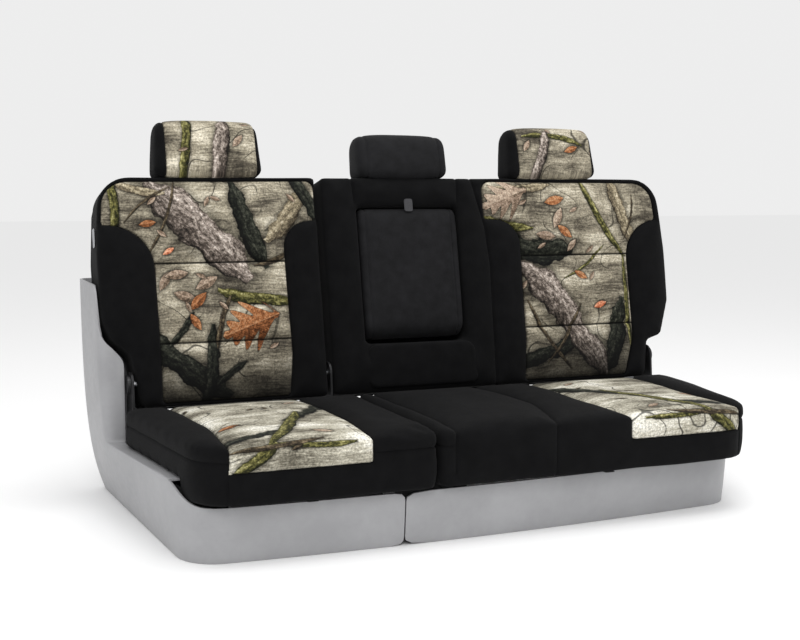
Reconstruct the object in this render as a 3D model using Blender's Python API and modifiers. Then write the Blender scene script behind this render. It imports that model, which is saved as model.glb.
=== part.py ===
"""Split rear bench seat wearing its fitted cover set.

Metres, +X along the bench, +Y rearward, +Z up, origin on the floor under the middle of the bench.
The 40 % seat is at -X and the 60 % seat, which holds the fold-down armrest, at +X.
"""
import math

import bmesh
import bpy
from mathutils import Matrix, Vector

# ---- driving dimensions (metres) ----
HALF_WIDTH = {-1: 0.770, 1: 0.782}   # from the middle to the outer side of each backrest cover
DEPTH = 0.82              # front nose of the cushions to the rear of the base
SEAM_X = -0.161           # middle of the gap between the two cushions
BACK_SEAM_X = -0.22       # middle of the gap between the two backrests
BASE_SEAM_X = -0.226      # joint between the two skirts of the base
CLEAR = 0.0003            # gap between pieces that touch
FABRIC = 0.003            # thickness of the cover fabric with its foam backing

FRONT_Y = -DEPTH / 2
REAR_Y = DEPTH / 2

# base
SKIRT_FRONT_Y = FRONT_Y + 0.065
SKIRT_WALL = 0.005
SKIRT_FRONT_TOP = 0.1155
SKIRT_SIDE_TOP = 0.162
UPRIGHT_TOP = {-1: 0.53, 1: 0.215}   # the rear corner panel is tall on one side only
UPRIGHT_Y = 0.168         # where the side wall turns up and in to become the rear corner panel
SKIRT_BULGE = 0.048       # how far the side walls lean out in all
BULGE_HEIGHT = 0.12       # height over which most of that lean happens
SKIRT_FRONT_HALF = {-1: 0.69, 1: 0.655}
SKIRT_WAIST = {-1: (-0.02, 0.7065), 1: (-0.02, 0.706)}   # (y, half width) along the side walls
SKIRT_REAR_HALF = 0.733
STEP_Y = {-1: (-0.345, -0.270), 1: (-0.170, -0.100)}   # where the side walls step up
PAN_LOW = 0.118
PAN_HIGH = 0.1215
RISER_TOP = PAN_LOW - CLEAR

# cushions
CUSHION_LOW = PAN_HIGH + CLEAR
CUSHION_TOP = 0.248
CUSHION_REAR_Y = 0.093
CUSHION_BAND_TOP = 0.193  # seam between the front band and the top panel
SIDE_HEM = 0.165          # hem along the sides, above the skirt's side wall
# (y, half width) of each cushion
CUSHION_SIDE = {-1: ((-0.30, 0.668), (-0.10, 0.706), (CUSHION_REAR_Y, 0.732)),
                1: ((-0.30, 0.642), (-0.10, 0.706), (CUSHION_REAR_Y, 0.732))}

# backrests: a local frame on the hinge axis, x along the bench, y up the lean, z forward
LEAN = math.atan(0.2)
PIVOT_Y = 0.1474
PIVOT_Z = 0.297
BACK_FRONT = 0.032
BACK_REAR = -0.073
BACK_TOP_Z = 0.769
BACK_LOW_Z = 0.237
ROD_RADIUS = 0.008
BRACKET_X = 0.703
BRACKET_THICKNESS = 0.005

# armrest and its recess in the 60 % backrest
ARM_X = (-0.117, 0.150)
ARM_RADIUS = 0.04         # half the armrest's thickness, and its round lower end
ARM_PIVOT_Z = 0.410
ARM_TOP_Z = 0.697
RECESS_GAP = 0.003

# headrests
HEADREST_X = {"left": -0.488, "centre": 0.013, "right": 0.452}
HEADREST_TOP_Z = {"left": 0.912, "centre": 0.886, "right": 0.912}
HEADREST_WIDTH = {"left": 0.262, "centre": 0.246, "right": 0.262}
HEADREST_FRONT = 0.042
HEADREST_REAR = -0.060
POST_SPACING = 0.13
POST_RADIUS = 0.006
POST_DEPTH = -0.012       # how far behind the hinge plane the posts stand
GUIDE_RADIUS = 0.0105
GUIDE_LENGTH = 0.06
POST_REACH = {"left": 0.11, "centre": 0.058, "right": 0.11}   # posts below the backrest's top
FLANGE = 0.0022           # thickness of the guides' flanges, on top of the cover

OBJECT_NAME = "rear_bench_seat_cover_set"


def clear_scene():
    for old in list(bpy.data.objects):
        bpy.data.objects.remove(old, do_unlink=True)


def new_collection(name):
    collection = bpy.data.collections.new(name)
    bpy.context.scene.collection.children.link(collection)
    return collection


clear_scene()
PARTS = new_collection(OBJECT_NAME)
CUTTERS = new_collection("cutters")


# ---- materials: colour, roughness, metallic ----
FINISHES = {
    "black_fabric": ((0.012, 0.012, 0.013), 0.75, 0.0),
    "camo_fabric": ((0.17, 0.15, 0.11), 0.85, 0.0),
    "charcoal_fabric": ((0.022, 0.022, 0.024), 0.65, 0.0),
    "foam": ((0.55, 0.50, 0.36), 0.95, 0.0),
    "grey_plastic": ((0.38, 0.38, 0.39), 0.45, 0.0),
    "black_plastic": ((0.015, 0.015, 0.016), 0.40, 0.0),
    "black_steel": ((0.020, 0.020, 0.022), 0.45, 0.8),
    "bright_steel": ((0.60, 0.60, 0.62), 0.25, 1.0),
    "webbing": ((0.020, 0.020, 0.021), 0.80, 0.0),
    "tag": ((0.30, 0.30, 0.31), 0.60, 0.0),
}


def material(name, finish):
    colour, roughness, metallic = FINISHES[finish]
    made = bpy.data.materials.new(name)
    made.use_nodes = True
    shader = made.node_tree.nodes["Principled BSDF"]
    shader.inputs["Base Color"].default_value = (*colour, 1.0)
    shader.inputs["Roughness"].default_value = roughness
    shader.inputs["Metallic"].default_value = metallic
    made.diffuse_color = (*colour, 1.0)
    return made


# ---- outlines ----
def inset(corners, distance):
    """Corners (x, y, radius) of a counter-clockwise outline, moved inward by distance."""
    moved = []
    count = len(corners)
    for i, (x, y, radius) in enumerate(corners):
        here = Vector((x, y))
        before = (here - Vector(corners[i - 1][:2])).normalized()
        after = (Vector(corners[(i + 1) % count][:2]) - here).normalized()
        inward = Vector((-before.y, before.x)) + Vector((-after.y, after.x))
        scale = distance / (1 + before.dot(after))
        convex = before.cross(after) > 0
        new_radius = max(radius - distance if convex else radius + distance, 0.0)
        moved.append((x + inward.x * scale, y + inward.y * scale, new_radius if radius else 0.0))
    return moved


def rounded(corners, steps=5):
    """Points of an outline whose corners (x, y, radius) are rounded by arcs."""
    points = []
    count = len(corners)
    for i, (x, y, radius) in enumerate(corners):
        here = Vector((x, y))
        to_last = (Vector(corners[i - 1][:2]) - here).normalized()
        to_next = (Vector(corners[(i + 1) % count][:2]) - here).normalized()
        angle = to_last.angle(to_next)
        if radius <= 0 or angle > math.radians(178):
            points.append((x, y))
            continue
        centre = here + (to_last + to_next).normalized() * (radius / math.sin(angle / 2))
        start = here + to_last * (radius / math.tan(angle / 2)) - centre
        sweep = math.pi - angle
        turn = -1 if to_last.cross(to_next) > 0 else 1
        arc_steps = max(2, round(steps * sweep / (math.pi / 2)))
        for k in range(arc_steps + 1):
            offset = start.copy()
            offset.rotate(Matrix.Rotation(turn * sweep * k / arc_steps, 2))
            points.append(tuple(centre + offset))
    return points


def mirrored(corners):
    """The same outline on the other side of x = 0, still counter-clockwise."""
    return [(-x, y, radius) for x, y, radius in reversed(corners)]


def block(x0, x1, y0, y1, radius=0.0):
    return [(x0, y0, radius), (x1, y0, radius), (x1, y1, radius), (x0, y1, radius)]


# ---- solids ----
def slab(name, points, low, high, top_round=0.0, low_round=0.0, segments=2):
    """Mesh of a flat outline between two heights, with its rims rounded over."""
    curve = bpy.data.curves.new(name, "CURVE")
    curve.dimensions = "2D"
    curve.fill_mode = "BOTH"
    curve.extrude = (high - low) / 2
    spline = curve.splines.new("POLY")
    spline.points.add(len(points) - 1)
    for point, (x, y) in zip(spline.points, points):
        point.co = (x, y, 0, 1)
    spline.use_cyclic_u = True
    holder = bpy.data.objects.new(name, curve)
    PARTS.objects.link(holder)
    graph = bpy.context.evaluated_depsgraph_get()
    mesh = bpy.data.meshes.new_from_object(holder.evaluated_get(graph))
    bpy.data.objects.remove(holder)
    mesh.transform(Matrix.Translation((0, 0, (low + high) / 2)))
    form = bmesh.new()
    form.from_mesh(mesh)
    bmesh.ops.remove_doubles(form, verts=form.verts, dist=0.00001)
    bmesh.ops.dissolve_limit(form, angle_limit=0.002, verts=form.verts, edges=form.edges)
    bmesh.ops.recalc_face_normals(form, faces=form.faces)
    for height, radius in ((high, top_round), (low, low_round)):
        if radius:
            rim = [e for e in form.edges if all(abs(v.co.z - height) < 0.00001 for v in e.verts)]
            bmesh.ops.bevel(form, geom=rim, offset=radius, segments=segments, profile=0.5,
                            affect="EDGES", clamp_overlap=True)
    form.to_mesh(mesh)
    form.free()
    return mesh


def add(name, mesh, finish, parent=None, matrix=None, smooth=40):
    """A named part with its own material, placed in its parent's frame."""
    part = bpy.data.objects.new(name, mesh)
    PARTS.objects.link(part)
    part.data.materials.clear()
    part.data.materials.append(material(name, finish))
    mesh.shade_smooth()
    mesh.set_sharp_from_angle(angle=math.radians(smooth))
    part.parent = parent
    if matrix is not None:
        part.matrix_basis = matrix
    return part


def add_cutter(name, mesh, parent=None, matrix=None):
    cutter = bpy.data.objects.new(name, mesh)
    CUTTERS.objects.link(cutter)
    cutter.hide_render = True
    cutter.display_type = "WIRE"
    cutter.parent = parent
    if matrix is not None:
        cutter.matrix_basis = matrix
    return cutter


def cut(part, *cutters, operation="DIFFERENCE"):
    for cutter in cutters:
        boolean = part.modifiers.new(cutter.name, "BOOLEAN")
        boolean.operation = operation
        boolean.solver = "EXACT"
        boolean.object = cutter


def skin(part, thickness=FABRIC, offset=1):
    """Gives an open surface the thickness of a shell, outward for offset 1."""
    shell = part.modifiers.new("skin", "SOLIDIFY")
    shell.thickness = thickness
    shell.offset = offset
    shell.use_even_offset = True
    return shell


def open_side(mesh, direction, least=0.999):
    """Removes the faces that look along direction, to leave an open cap."""
    form = bmesh.new()
    form.from_mesh(mesh)
    form.normal_update()
    gone = [f for f in form.faces if f.normal.dot(Vector(direction)) > least]
    bmesh.ops.delete(form, geom=gone, context="FACES")
    form.to_mesh(mesh)
    form.free()
    return mesh


def rod_mesh(name, radius, length, segments=16):
    """A cylinder along Z, centred on the origin."""
    form = bmesh.new()
    bmesh.ops.create_cone(form, cap_ends=True, segments=segments, radius1=radius, radius2=radius,
                          depth=length)
    mesh = bpy.data.meshes.new(name)
    form.to_mesh(mesh)
    form.free()
    return mesh


def along_x(x, y=0.0, z=0.0):
    """Places a Z cylinder along X."""
    return Matrix.Translation((x, y, z)) @ Matrix.Rotation(math.pi / 2, 4, "Y")


def along_y(x, y=0.0, z=0.0):
    return Matrix.Translation((x, y, z)) @ Matrix.Rotation(-math.pi / 2, 4, "X")


# ---- empties that carry what moves ----
def empty(name, location, parent=None, rotation=0.0):
    holder = bpy.data.objects.new(name, None)
    PARTS.objects.link(holder)
    holder.parent = parent
    holder.location = location
    holder.rotation_euler = (rotation, 0, 0)
    return holder


LEFT_BACK = empty("left_back_hinge", (0, PIVOT_Y, PIVOT_Z), rotation=math.pi / 2 - LEAN)
RIGHT_BACK = empty("right_back_hinge", (0, PIVOT_Y, PIVOT_Z), rotation=math.pi / 2 - LEAN)
BACKS = {"left": LEFT_BACK, "right": RIGHT_BACK}


def up(z):
    """Distance up the lean from the hinge axis to a height."""
    return (z - PIVOT_Z) / math.cos(LEAN)


# ---- base ----
def ramp(value, start, end):
    """0 before start, 1 after end, smooth between."""
    share = min(max((value - start) / (end - start), 0), 1)
    return share * share * (3 - 2 * share)


def between(value, stations):
    """Straight-line reading of a list of (position, number)."""
    for (p0, n0), (p1, n1) in zip(stations, stations[1:]):
        if value <= p1:
            return n0 + (n1 - n0) * max(value - p0, 0) / (p1 - p0)
    return stations[-1][1]


def front_y(x):
    """Plan line of the skirts' front, which bows forward in the middle."""
    return SKIRT_FRONT_Y + 0.002 - 0.025 * (1 - ((x + 0.15) / 0.6) ** 2)


def skirt_path(side, seam_x):
    """Plan points of one skirt's lower edge, from the seam round the outer corners."""
    front_corner = 0.09
    rear_corner = 0.03
    front_half = SKIRT_FRONT_HALF[side]
    rear_half = SKIRT_REAR_HALF
    wing_end = 0.60
    corner_x = side * (front_half - front_corner)
    points = []
    for k in range(5):
        x = seam_x + (corner_x - seam_x) * k / 4
        points.append((x, front_y(x)))
    centre_y = front_y(corner_x) + front_corner
    for k in range(1, 7):
        angle = math.pi / 2 * k / 6
        points.append((corner_x + side * front_corner * math.sin(angle),
                       centre_y - front_corner * math.cos(angle)))
    side_end = REAR_Y - rear_corner
    for y in (-0.22, -0.17, -0.135, -0.10, -0.02, 0.06, 0.12, UPRIGHT_Y, 0.23, 0.31, side_end):
        half = between(y, ((centre_y, front_half), SKIRT_WAIST[side], (side_end, rear_half)))
        points.append((side * half, y))
    for k in range(1, 5):
        angle = math.pi / 2 * k / 4
        points.append((side * (rear_half - rear_corner * (1 - math.cos(angle))),
                       side_end + rear_corner * math.sin(angle)))
    points.append((side * wing_end, REAR_Y))
    return points


def skirt_point(side, x, y, z):
    """A point of the wall at height z above the plan point (x, y) of its lower edge."""
    share = between(y, ((-0.30, 0.35), (0.12, 1.25), (0.22, 1.25), (REAR_Y, 1.0)))
    lean = SKIRT_BULGE * (1 - math.exp(-z / BULGE_HEIGHT))
    corner_x = SKIRT_FRONT_HALF[side] - 0.09
    if abs(x) < corner_x and y < 0:
        return Vector((x, y - 0.35 * lean, z))
    turn = ramp(abs(x), corner_x - 0.01, SKIRT_FRONT_HALF[side]) if y < 0 else 1.0
    inward = 1.0 if y < REAR_Y - 0.0001 else ramp(abs(x), 0.60, SKIRT_REAR_HALF - 0.03)
    return Vector((x + side * share * lean * turn * inward, y - 0.35 * lean * (1 - turn), z))


def cushion_side(side, y):
    """Half width of a cushion at y."""
    return between(y, CUSHION_SIDE[side])


def build_skirt(name, side, seam_x):
    """Moulded skirt: front, side wall with its inward ledge, and the tall rear corner panel."""
    form = bmesh.new()
    points = skirt_path(side, seam_x)
    first_ledge = min(i for i, (x, y) in enumerate(points) if y >= STEP_Y[side][1] - 0.0001)
    corner = min(i for i, (x, y) in enumerate(points) if y >= UPRIGHT_Y - 0.0001)

    def grid(columns):
        for left, right in zip(columns, columns[1:]):
            for a, b, c, d in zip(left, right, right[1:], left[1:]):
                form.faces.new((a, b, c, d) if side < 0 else (d, c, b, a))

    low_rows = 5
    lower = []
    for i, (x, y) in enumerate(points):
        top = SKIRT_FRONT_TOP + (SKIRT_SIDE_TOP - SKIRT_FRONT_TOP) * ramp(y, *STEP_Y[side])
        lower.append([form.verts.new(skirt_point(side, x, y, top * k / low_rows))
                      for k in range(low_rows + 1)])
    high_rows = 8
    rises = [(UPRIGHT_TOP[side] - SKIRT_SIDE_TOP) * k / high_rows for k in range(1, high_rows + 1)]
    upper = [[lower[i][-1]] + [form.verts.new(skirt_point(side, *points[i], SKIRT_SIDE_TOP + rise))
                               for rise in rises] for i in range(corner, len(points))]
    # the panel turns in towards the hinge below the backrest's narrow part: (y, half width, top)
    edge = abs(upper[0][0].co.x)
    wing_stations = ((0.157, edge - 0.002, 0.420), (0.151, edge - 0.013, 0.397),
                     (0.150, 0.742, 0.388), (0.150, 0.7175, 0.352))
    wing = [upper[0]]
    for y, half, top in wing_stations:
        top = min(top, UPRIGHT_TOP[side])
        column = []
        for k in range(high_rows + 1):
            z = SKIRT_SIDE_TOP + (top - SKIRT_SIDE_TOP) * k / high_rows
            lean = skirt_point(side, *points[corner], z).x * side - edge
            share = (half - 0.7175) / (edge - 0.7175)
            column.append(form.verts.new((side * (half + lean * share), y, z)))
        wing.append(column)
    # the ledge under the cushion's side hem
    ledge = []
    for i in range(first_ledge, corner):
        wall = lower[i][-1].co
        inner = min(cushion_side(side, wall.y) - 0.012, abs(wall.x) - 0.012)
        ledge.append([lower[i][-1]] + [form.verts.new((side * (abs(wall.x) + (inner - abs(wall.x)) * k / 4),
                                                       wall.y, wall.z)) for k in range(1, 5)])
    ledge.append([column[0] for column in wing])
    grid(lower)
    grid(upper)
    grid(list(reversed(wing)))
    grid(ledge)
    bmesh.ops.recalc_face_normals(form, faces=form.faces)
    outward = sum((f.normal.x * side * f.calc_area() for f in form.faces), 0.0) > 0
    if not outward:
        bmesh.ops.reverse_faces(form, faces=form.faces)
    mesh = bpy.data.meshes.new(name)
    form.to_mesh(mesh)
    form.free()
    part = add(name, mesh, "grey_plastic")
    skin(part, SKIRT_WALL, offset=-1)
    return part


def build_base():
    build_skirt("base_skirt_left", -1, BASE_SEAM_X - 0.0015)
    build_skirt("base_skirt_right", 1, BASE_SEAM_X + 0.0015)
    pan_front = SKIRT_FRONT_Y + 0.012
    for name, side, inner in (("left", -1, SEAM_X - 0.008), ("right", 1, SEAM_X + 0.008)):
        outline = [(inner, pan_front, 0.01), (side * 0.59, pan_front, 0.05),
                   (side * 0.64, pan_front + 0.09, 0.03), (side * 0.708, 0.11, 0.0),
                   (side * 0.708, 0.27, 0.01), (inner, 0.27, 0.01)]
        if side < 0:
            outline = list(reversed(outline))
        add("seat_pan_" + name, slab("seat_pan_" + name, rounded(outline, 4), PAN_LOW, PAN_HIGH),
            "black_steel")
    riser = block(-0.016, 0.016, SKIRT_FRONT_Y + 0.05, 0.26, 0.006)
    for number, x in enumerate((-0.60, -0.26, -0.06, 0.60), start=1):
        name = f"seat_riser_{number}"
        add(name, slab(name, rounded(riser, 2), 0.0, RISER_TOP), "black_steel",
            matrix=Matrix.Translation((x, 0, 0)))


# ---- cushions ----
def cushion_outline(side, inner):
    """Plan of one cushion: square at the seam, widely rounded at the outer front corner."""
    (_, front), (middle_y, middle), (_, rear) = CUSHION_SIDE[side]
    corners = [(inner, FRONT_Y, 0.02), (front, FRONT_Y, 0.11), (middle, middle_y, 0.25),
               (rear, CUSHION_REAR_Y, 0.03), (inner, CUSHION_REAR_Y, 0.012)]
    return corners if side > 0 else mirrored(corners)


def build_cushion(name, side, inner):
    """Foam, cover and camouflage insert of one cushion. inner is its seam edge times side."""
    outline = cushion_outline(side, inner)
    wall = FABRIC + CLEAR
    foam = add("cushion_foam_" + name,
               slab("cushion_foam_" + name, rounded(inset(outline, wall)), CUSHION_LOW,
                    CUSHION_TOP - wall, top_round=0.027), "foam")
    skin_mesh = slab("cushion_cover_" + name, rounded(inset(outline, FABRIC)), CUSHION_LOW,
                     CUSHION_TOP - FABRIC, top_round=0.027)
    open_side(skin_mesh, (0, 0, -1))
    cover = add("cushion_cover_" + name, skin_mesh, "black_fabric")
    insert = add("cushion_insert_" + name, skin_mesh.copy(), "camo_fabric")
    start = STEP_Y[side][0] - 0.011
    step = [(side * x, y, 0) for x, y in ((0.640, start), (0.80, start), (0.80, 0.30), (0.700, 0.30),
                                          (0.650, start + 0.086))]
    if side < 0:
        step.reverse()
    notch = add_cutter("side_step_" + name, slab("side_step_" + name, rounded(step), 0.05, SIDE_HEM))
    panel = [(0.312, FRONT_Y - 0.05, 0), (0.613, FRONT_Y - 0.05, 0), (0.598, -0.20, 0.6),
             (0.632, 0.15, 0), (0.318, 0.15, 0), (0.300, -0.20, 0.6)]
    panel = panel if side > 0 else mirrored(panel)
    hole = add_cutter("panel_hole_" + name,
                      slab("panel_hole_" + name, rounded(inset(panel, -CLEAR / 2)),
                           CUSHION_BAND_TOP - CLEAR, 0.30))
    fill = add_cutter("panel_fill_" + name,
                      slab("panel_fill_" + name, rounded(inset(panel, CLEAR / 2)),
                           CUSHION_BAND_TOP, 0.30))
    for part in (cover, insert):
        skin(part)
    cut(foam, notch)
    cut(cover, notch, hole)
    cut(insert, fill, operation="INTERSECT")


def build_straps():
    """Webbing that holds each cover's hem down under its pan, with a buckle on it."""
    for name, x in (("left", -0.43), ("right", 0.27)):
        strap = block(-0.0125, 0.0125, FRONT_Y + 0.03, CUSHION_REAR_Y + 0.03, 0.004)
        add("hem_strap_" + name, slab("hem_strap_" + name, rounded(strap, 2), PAN_LOW - 0.0018,
                                      PAN_LOW - CLEAR), "webbing", matrix=Matrix.Translation((x, 0, 0)))
        buckle = block(-0.02, 0.02, -0.05, 0.02, 0.008)
        add("strap_buckle_" + name,
            slab("strap_buckle_" + name, rounded(buckle, 2), PAN_LOW - 0.0141, PAN_LOW - 0.0021,
                 low_round=0.003, segments=1), "black_plastic", matrix=Matrix.Translation((x, 0, 0)))


# ---- hinges between the base and the backrests ----
def build_brackets():
    """Upright plates on the pans, each with a foot and a bore for the hinge rods."""
    bore = add_cutter("hinge_bore", rod_mesh("hinge_bore", ROD_RADIUS + CLEAR, 2.0),
                      matrix=along_x(0, PIVOT_Y, PIVOT_Z))
    foot_low = PAN_HIGH + CLEAR
    for name, x, foot_x in (("left", -BRACKET_X, -BRACKET_X + 0.015), ("centre", BACK_SEAM_X, BACK_SEAM_X),
                            ("right", BRACKET_X, BRACKET_X - 0.015)):
        # outline in (rearward, up), turned to stand across the bench
        plate = [(PIVOT_Y - 0.045, foot_low, 0.01), (PIVOT_Y + 0.07, foot_low, 0.01),
                 (PIVOT_Y + 0.028, PIVOT_Z + 0.028, 0.027), (PIVOT_Y - 0.028, PIVOT_Z + 0.028, 0.027)]
        turn = Matrix(((0, 0, 1, x), (1, 0, 0, 0), (0, 1, 0, 0), (0, 0, 0, 1)))
        half = BRACKET_THICKNESS / 2
        bracket = add("hinge_bracket_" + name, slab("hinge_bracket_" + name, rounded(plate), -half, half),
                      "black_steel", matrix=turn)
        foot = block(foot_x - 0.0175, foot_x + 0.0175, PIVOT_Y - 0.03, PIVOT_Y + 0.05, 0.006)
        sole = add_cutter("hinge_foot_" + name,
                          slab("hinge_foot_" + name, rounded(foot, 3), foot_low, foot_low + 0.004))
        cut(bracket, sole, operation="UNION")
        cut(bracket, bore)
    for name, side in (("left", -1), ("right", 1)):
        cap = rod_mesh("pivot_cap_" + name, 0.022, 0.007, segments=24)
        outside = side * (BRACKET_X + BRACKET_THICKNESS / 2 + CLEAR + 0.0035)
        add("pivot_cap_" + name, cap, "black_plastic", matrix=along_x(outside, PIVOT_Y, PIVOT_Z))


# ---- backrests, in the frame of their hinge: x, up the lean, forward ----
def back_outline(side, inner):
    """Front outline of one backrest, drawn for +X. inner is its seam edge times side."""
    top = up(BACK_TOP_Z)
    outer = HALF_WIDTH[side]
    corners = [(inner, up(BACK_LOW_Z), 0.015), (0.684, up(BACK_LOW_Z), 0.02),
               (0.705, up(0.362), 0.03), (0.745, up(0.395), 0.03), (outer - 0.002, up(0.44), 0.04),
               (outer, up(0.58), 0.3), (outer - 0.013, top, 0.08), (inner, top, 0.012)]
    return corners if side > 0 else mirrored(corners)


def insert_outline(side):
    """Camouflage panel: wide at the shoulders, narrow between the bolsters below."""
    inner, outer = (0.312, 0.631) if side < 0 else (0.328, 0.650)
    shoulder = (inner - 0.003 - 0.231) * 0.88
    corners = [(inner, up(0.252), 0.01), (outer, up(0.252), 0.01), (outer + 0.004, up(0.664), 0.10),
               (0.756, up(0.668), 0.008), (0.746, up(0.761), 0.068), (0.231, up(0.760), 0.03),
               (0.231, up(0.674), 0.005), (inner - 0.003, up(0.670), shoulder)]
    return corners if side > 0 else mirrored(corners)


def build_back(name, side, inner, recess=None):
    """Foam, cover, camouflage insert, board, rear flap and zip of one backrest."""
    hinge = BACKS[name]
    outline = back_outline(side, inner)
    wall = FABRIC + CLEAR
    rear_panel_top = BACK_REAR + FABRIC
    board_low = rear_panel_top + CLEAR
    board_high = board_low + 0.002
    foam = add("back_foam_" + name,
               slab("back_foam_" + name, rounded(inset(outline, wall)), board_high + CLEAR,
                    BACK_FRONT - wall, top_round=0.022), "foam", hinge)
    skin_mesh = slab("back_cover_" + name, rounded(inset(outline, FABRIC)), rear_panel_top + CLEAR,
                     BACK_FRONT - FABRIC, top_round=0.022)
    open_side(skin_mesh, (0, 0, -1))
    cover = add("back_cover_" + name, skin_mesh, "black_fabric", hinge)
    insert = add("back_insert_" + name, skin_mesh.copy(), "camo_fabric", hinge)
    panel = insert_outline(side)
    hole = add_cutter("back_hole_" + name,
                      slab("back_hole_" + name, rounded(inset(panel, -CLEAR / 2)), 0.012, 0.05), hinge)
    fill = add_cutter("back_fill_" + name,
                      slab("back_fill_" + name, rounded(inset(panel, CLEAR / 2)), 0.012, 0.05), hinge)
    rod_bore = add_cutter("rod_bore_" + name, rod_mesh("rod_bore_" + name, ROD_RADIUS + CLEAR, 2.0), hinge,
                          along_x(0))
    board = add("back_board_" + name,
                slab("back_board_" + name, rounded(inset(outline, 0.012), 3), board_low, board_high),
                "black_steel", hinge)
    flap = add("back_flap_" + name,
               slab("back_flap_" + name, rounded(outline, 4), BACK_REAR, rear_panel_top), "black_fabric",
               hinge)
    for part in (cover, insert):
        skin(part)
    cut(cover, hole, rod_bore)
    cut(insert, fill, operation="INTERSECT")
    cut(foam, rod_bore)
    if recess:
        for part in (foam, cover):
            cut(part, recess)
    build_zip(name, hinge, side * (inner + 0.5 * (0.770 - inner)))
    return foam, cover, board, flap


def build_zip(name, hinge, x):
    """Upright zip on the rear flap; its slider travels up the tape."""
    tape_low = BACK_REAR - CLEAR - 0.0012
    tape = block(x - 0.012, x + 0.012, up(0.275), up(0.70), 0.003)
    add("zip_tape_" + name, slab("zip_tape_" + name, rounded(tape, 2), tape_low, BACK_REAR - CLEAR),
        "black_plastic", hinge)
    holder = empty("zip_travel_" + name, (x, up(0.295), tape_low - CLEAR), hinge)
    slider = block(-0.005, 0.005, -0.009, 0.009, 0.003)
    add("zip_slider_" + name, slab("zip_slider_" + name, rounded(slider, 2), -0.004, 0.0, low_round=0.001,
                                   segments=1), "bright_steel", holder)


def build_rods():
    """Hinge rods that run through the lower edge of each backrest."""
    outer = BRACKET_X + BRACKET_THICKNESS / 2
    ends = {"left": (-outer, BACK_SEAM_X - CLEAR), "right": (BACK_SEAM_X + CLEAR, outer)}
    for name, (x0, x1) in ends.items():
        add("hinge_rod_" + name, rod_mesh("hinge_rod_" + name, ROD_RADIUS, x1 - x0), "bright_steel",
            BACKS[name], along_x((x0 + x1) / 2))


# ---- armrest ----
ARM_V = up(ARM_PIVOT_Z)
ARM_W = BACK_FRONT - ARM_RADIUS
ARM_HINGE = empty("armrest_hinge", (0, ARM_V, ARM_W), RIGHT_BACK)


def across(x):
    """Turns an outline drawn in (forward, up) about the armrest's axis to run across the bench."""
    return Matrix(((0, 0, -1, x), (0, 1, 0, 0), (1, 0, 0, 0), (0, 0, 0, 1)))


def arm_outline(grow):
    """Side view of the armrest about its pivot, with a half-round lower end."""
    radius = ARM_RADIUS + grow
    top = up(ARM_TOP_Z) - ARM_V + grow
    return [(-radius, -radius, radius * 0.999), (radius, -radius, radius * 0.999), (radius, top, 0.016),
            (-radius, top, 0.016)]


def build_armrest():
    half = (ARM_X[1] - ARM_X[0]) / 2
    middle = (ARM_X[1] + ARM_X[0]) / 2
    bore = add_cutter("arm_bore", rod_mesh("arm_bore", ROD_RADIUS + CLEAR, 0.5), ARM_HINGE, along_x(middle))
    wall = FABRIC + CLEAR
    core = add("armrest_foam",
               slab("armrest_foam", rounded(arm_outline(-wall), 6), -half + wall, half - wall,
                    top_round=0.009, low_round=0.009, segments=2), "foam", ARM_HINGE, across(middle))
    skin_mesh = slab("armrest_cover", rounded(arm_outline(-FABRIC), 6), -half + FABRIC, half - FABRIC,
                     top_round=0.009, low_round=0.009, segments=2)
    open_side(skin_mesh, (0, -1, 0), least=0.85)
    cover = add("armrest_cover", skin_mesh, "charcoal_fabric", ARM_HINGE, across(middle))
    skin(cover)
    cut(core, bore)
    cut(cover, bore)
    add("armrest_tube", rod_mesh("armrest_tube", ROD_RADIUS, 2 * half + 0.03), "bright_steel", ARM_HINGE,
        along_x(middle))
    tab = block(-0.011, 0.011, -0.016, 0.016, 0.005)
    add("pull_tab", slab("pull_tab", rounded(tab, 3), ARM_RADIUS + CLEAR, ARM_RADIUS + 0.0033), "webbing",
        ARM_HINGE, Matrix.Translation((middle, up(ARM_TOP_Z) - ARM_V + 0.006, 0)))


def arm_recess():
    half = (ARM_X[1] - ARM_X[0]) / 2 + RECESS_GAP
    floor = -ARM_RADIUS - RECESS_GAP
    top = up(ARM_TOP_Z) - ARM_V + RECESS_GAP
    # the floor falls away forward, so that the armrest can swing a little past square
    outline = [(-ARM_RADIUS - RECESS_GAP, floor, 0), (0.0, floor, 0), (0.12, floor - 0.021, 0),
               (0.12, top, 0), (-ARM_RADIUS - RECESS_GAP, top, 0)]
    return add_cutter("arm_recess", slab("arm_recess", rounded(outline), -half, half), ARM_HINGE,
                      across((ARM_X[1] + ARM_X[0]) / 2))


def build_lower_pad():
    """Padded panel below the armrest."""
    corners = [(-0.126, up(0.250), 0.02), (0.176, up(0.250), 0.02), (0.172, up(0.3585), 0.03),
               (-0.124, up(0.3585), 0.03)]
    low = BACK_FRONT + CLEAR
    add("lower_pad", slab("lower_pad", rounded(corners), low, low + 0.008, top_round=0.004), "black_fabric",
        RIGHT_BACK)


# ---- headrests ----
def headrest_hinge(name):
    return LEFT_BACK if name == "left" else RIGHT_BACK


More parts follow.
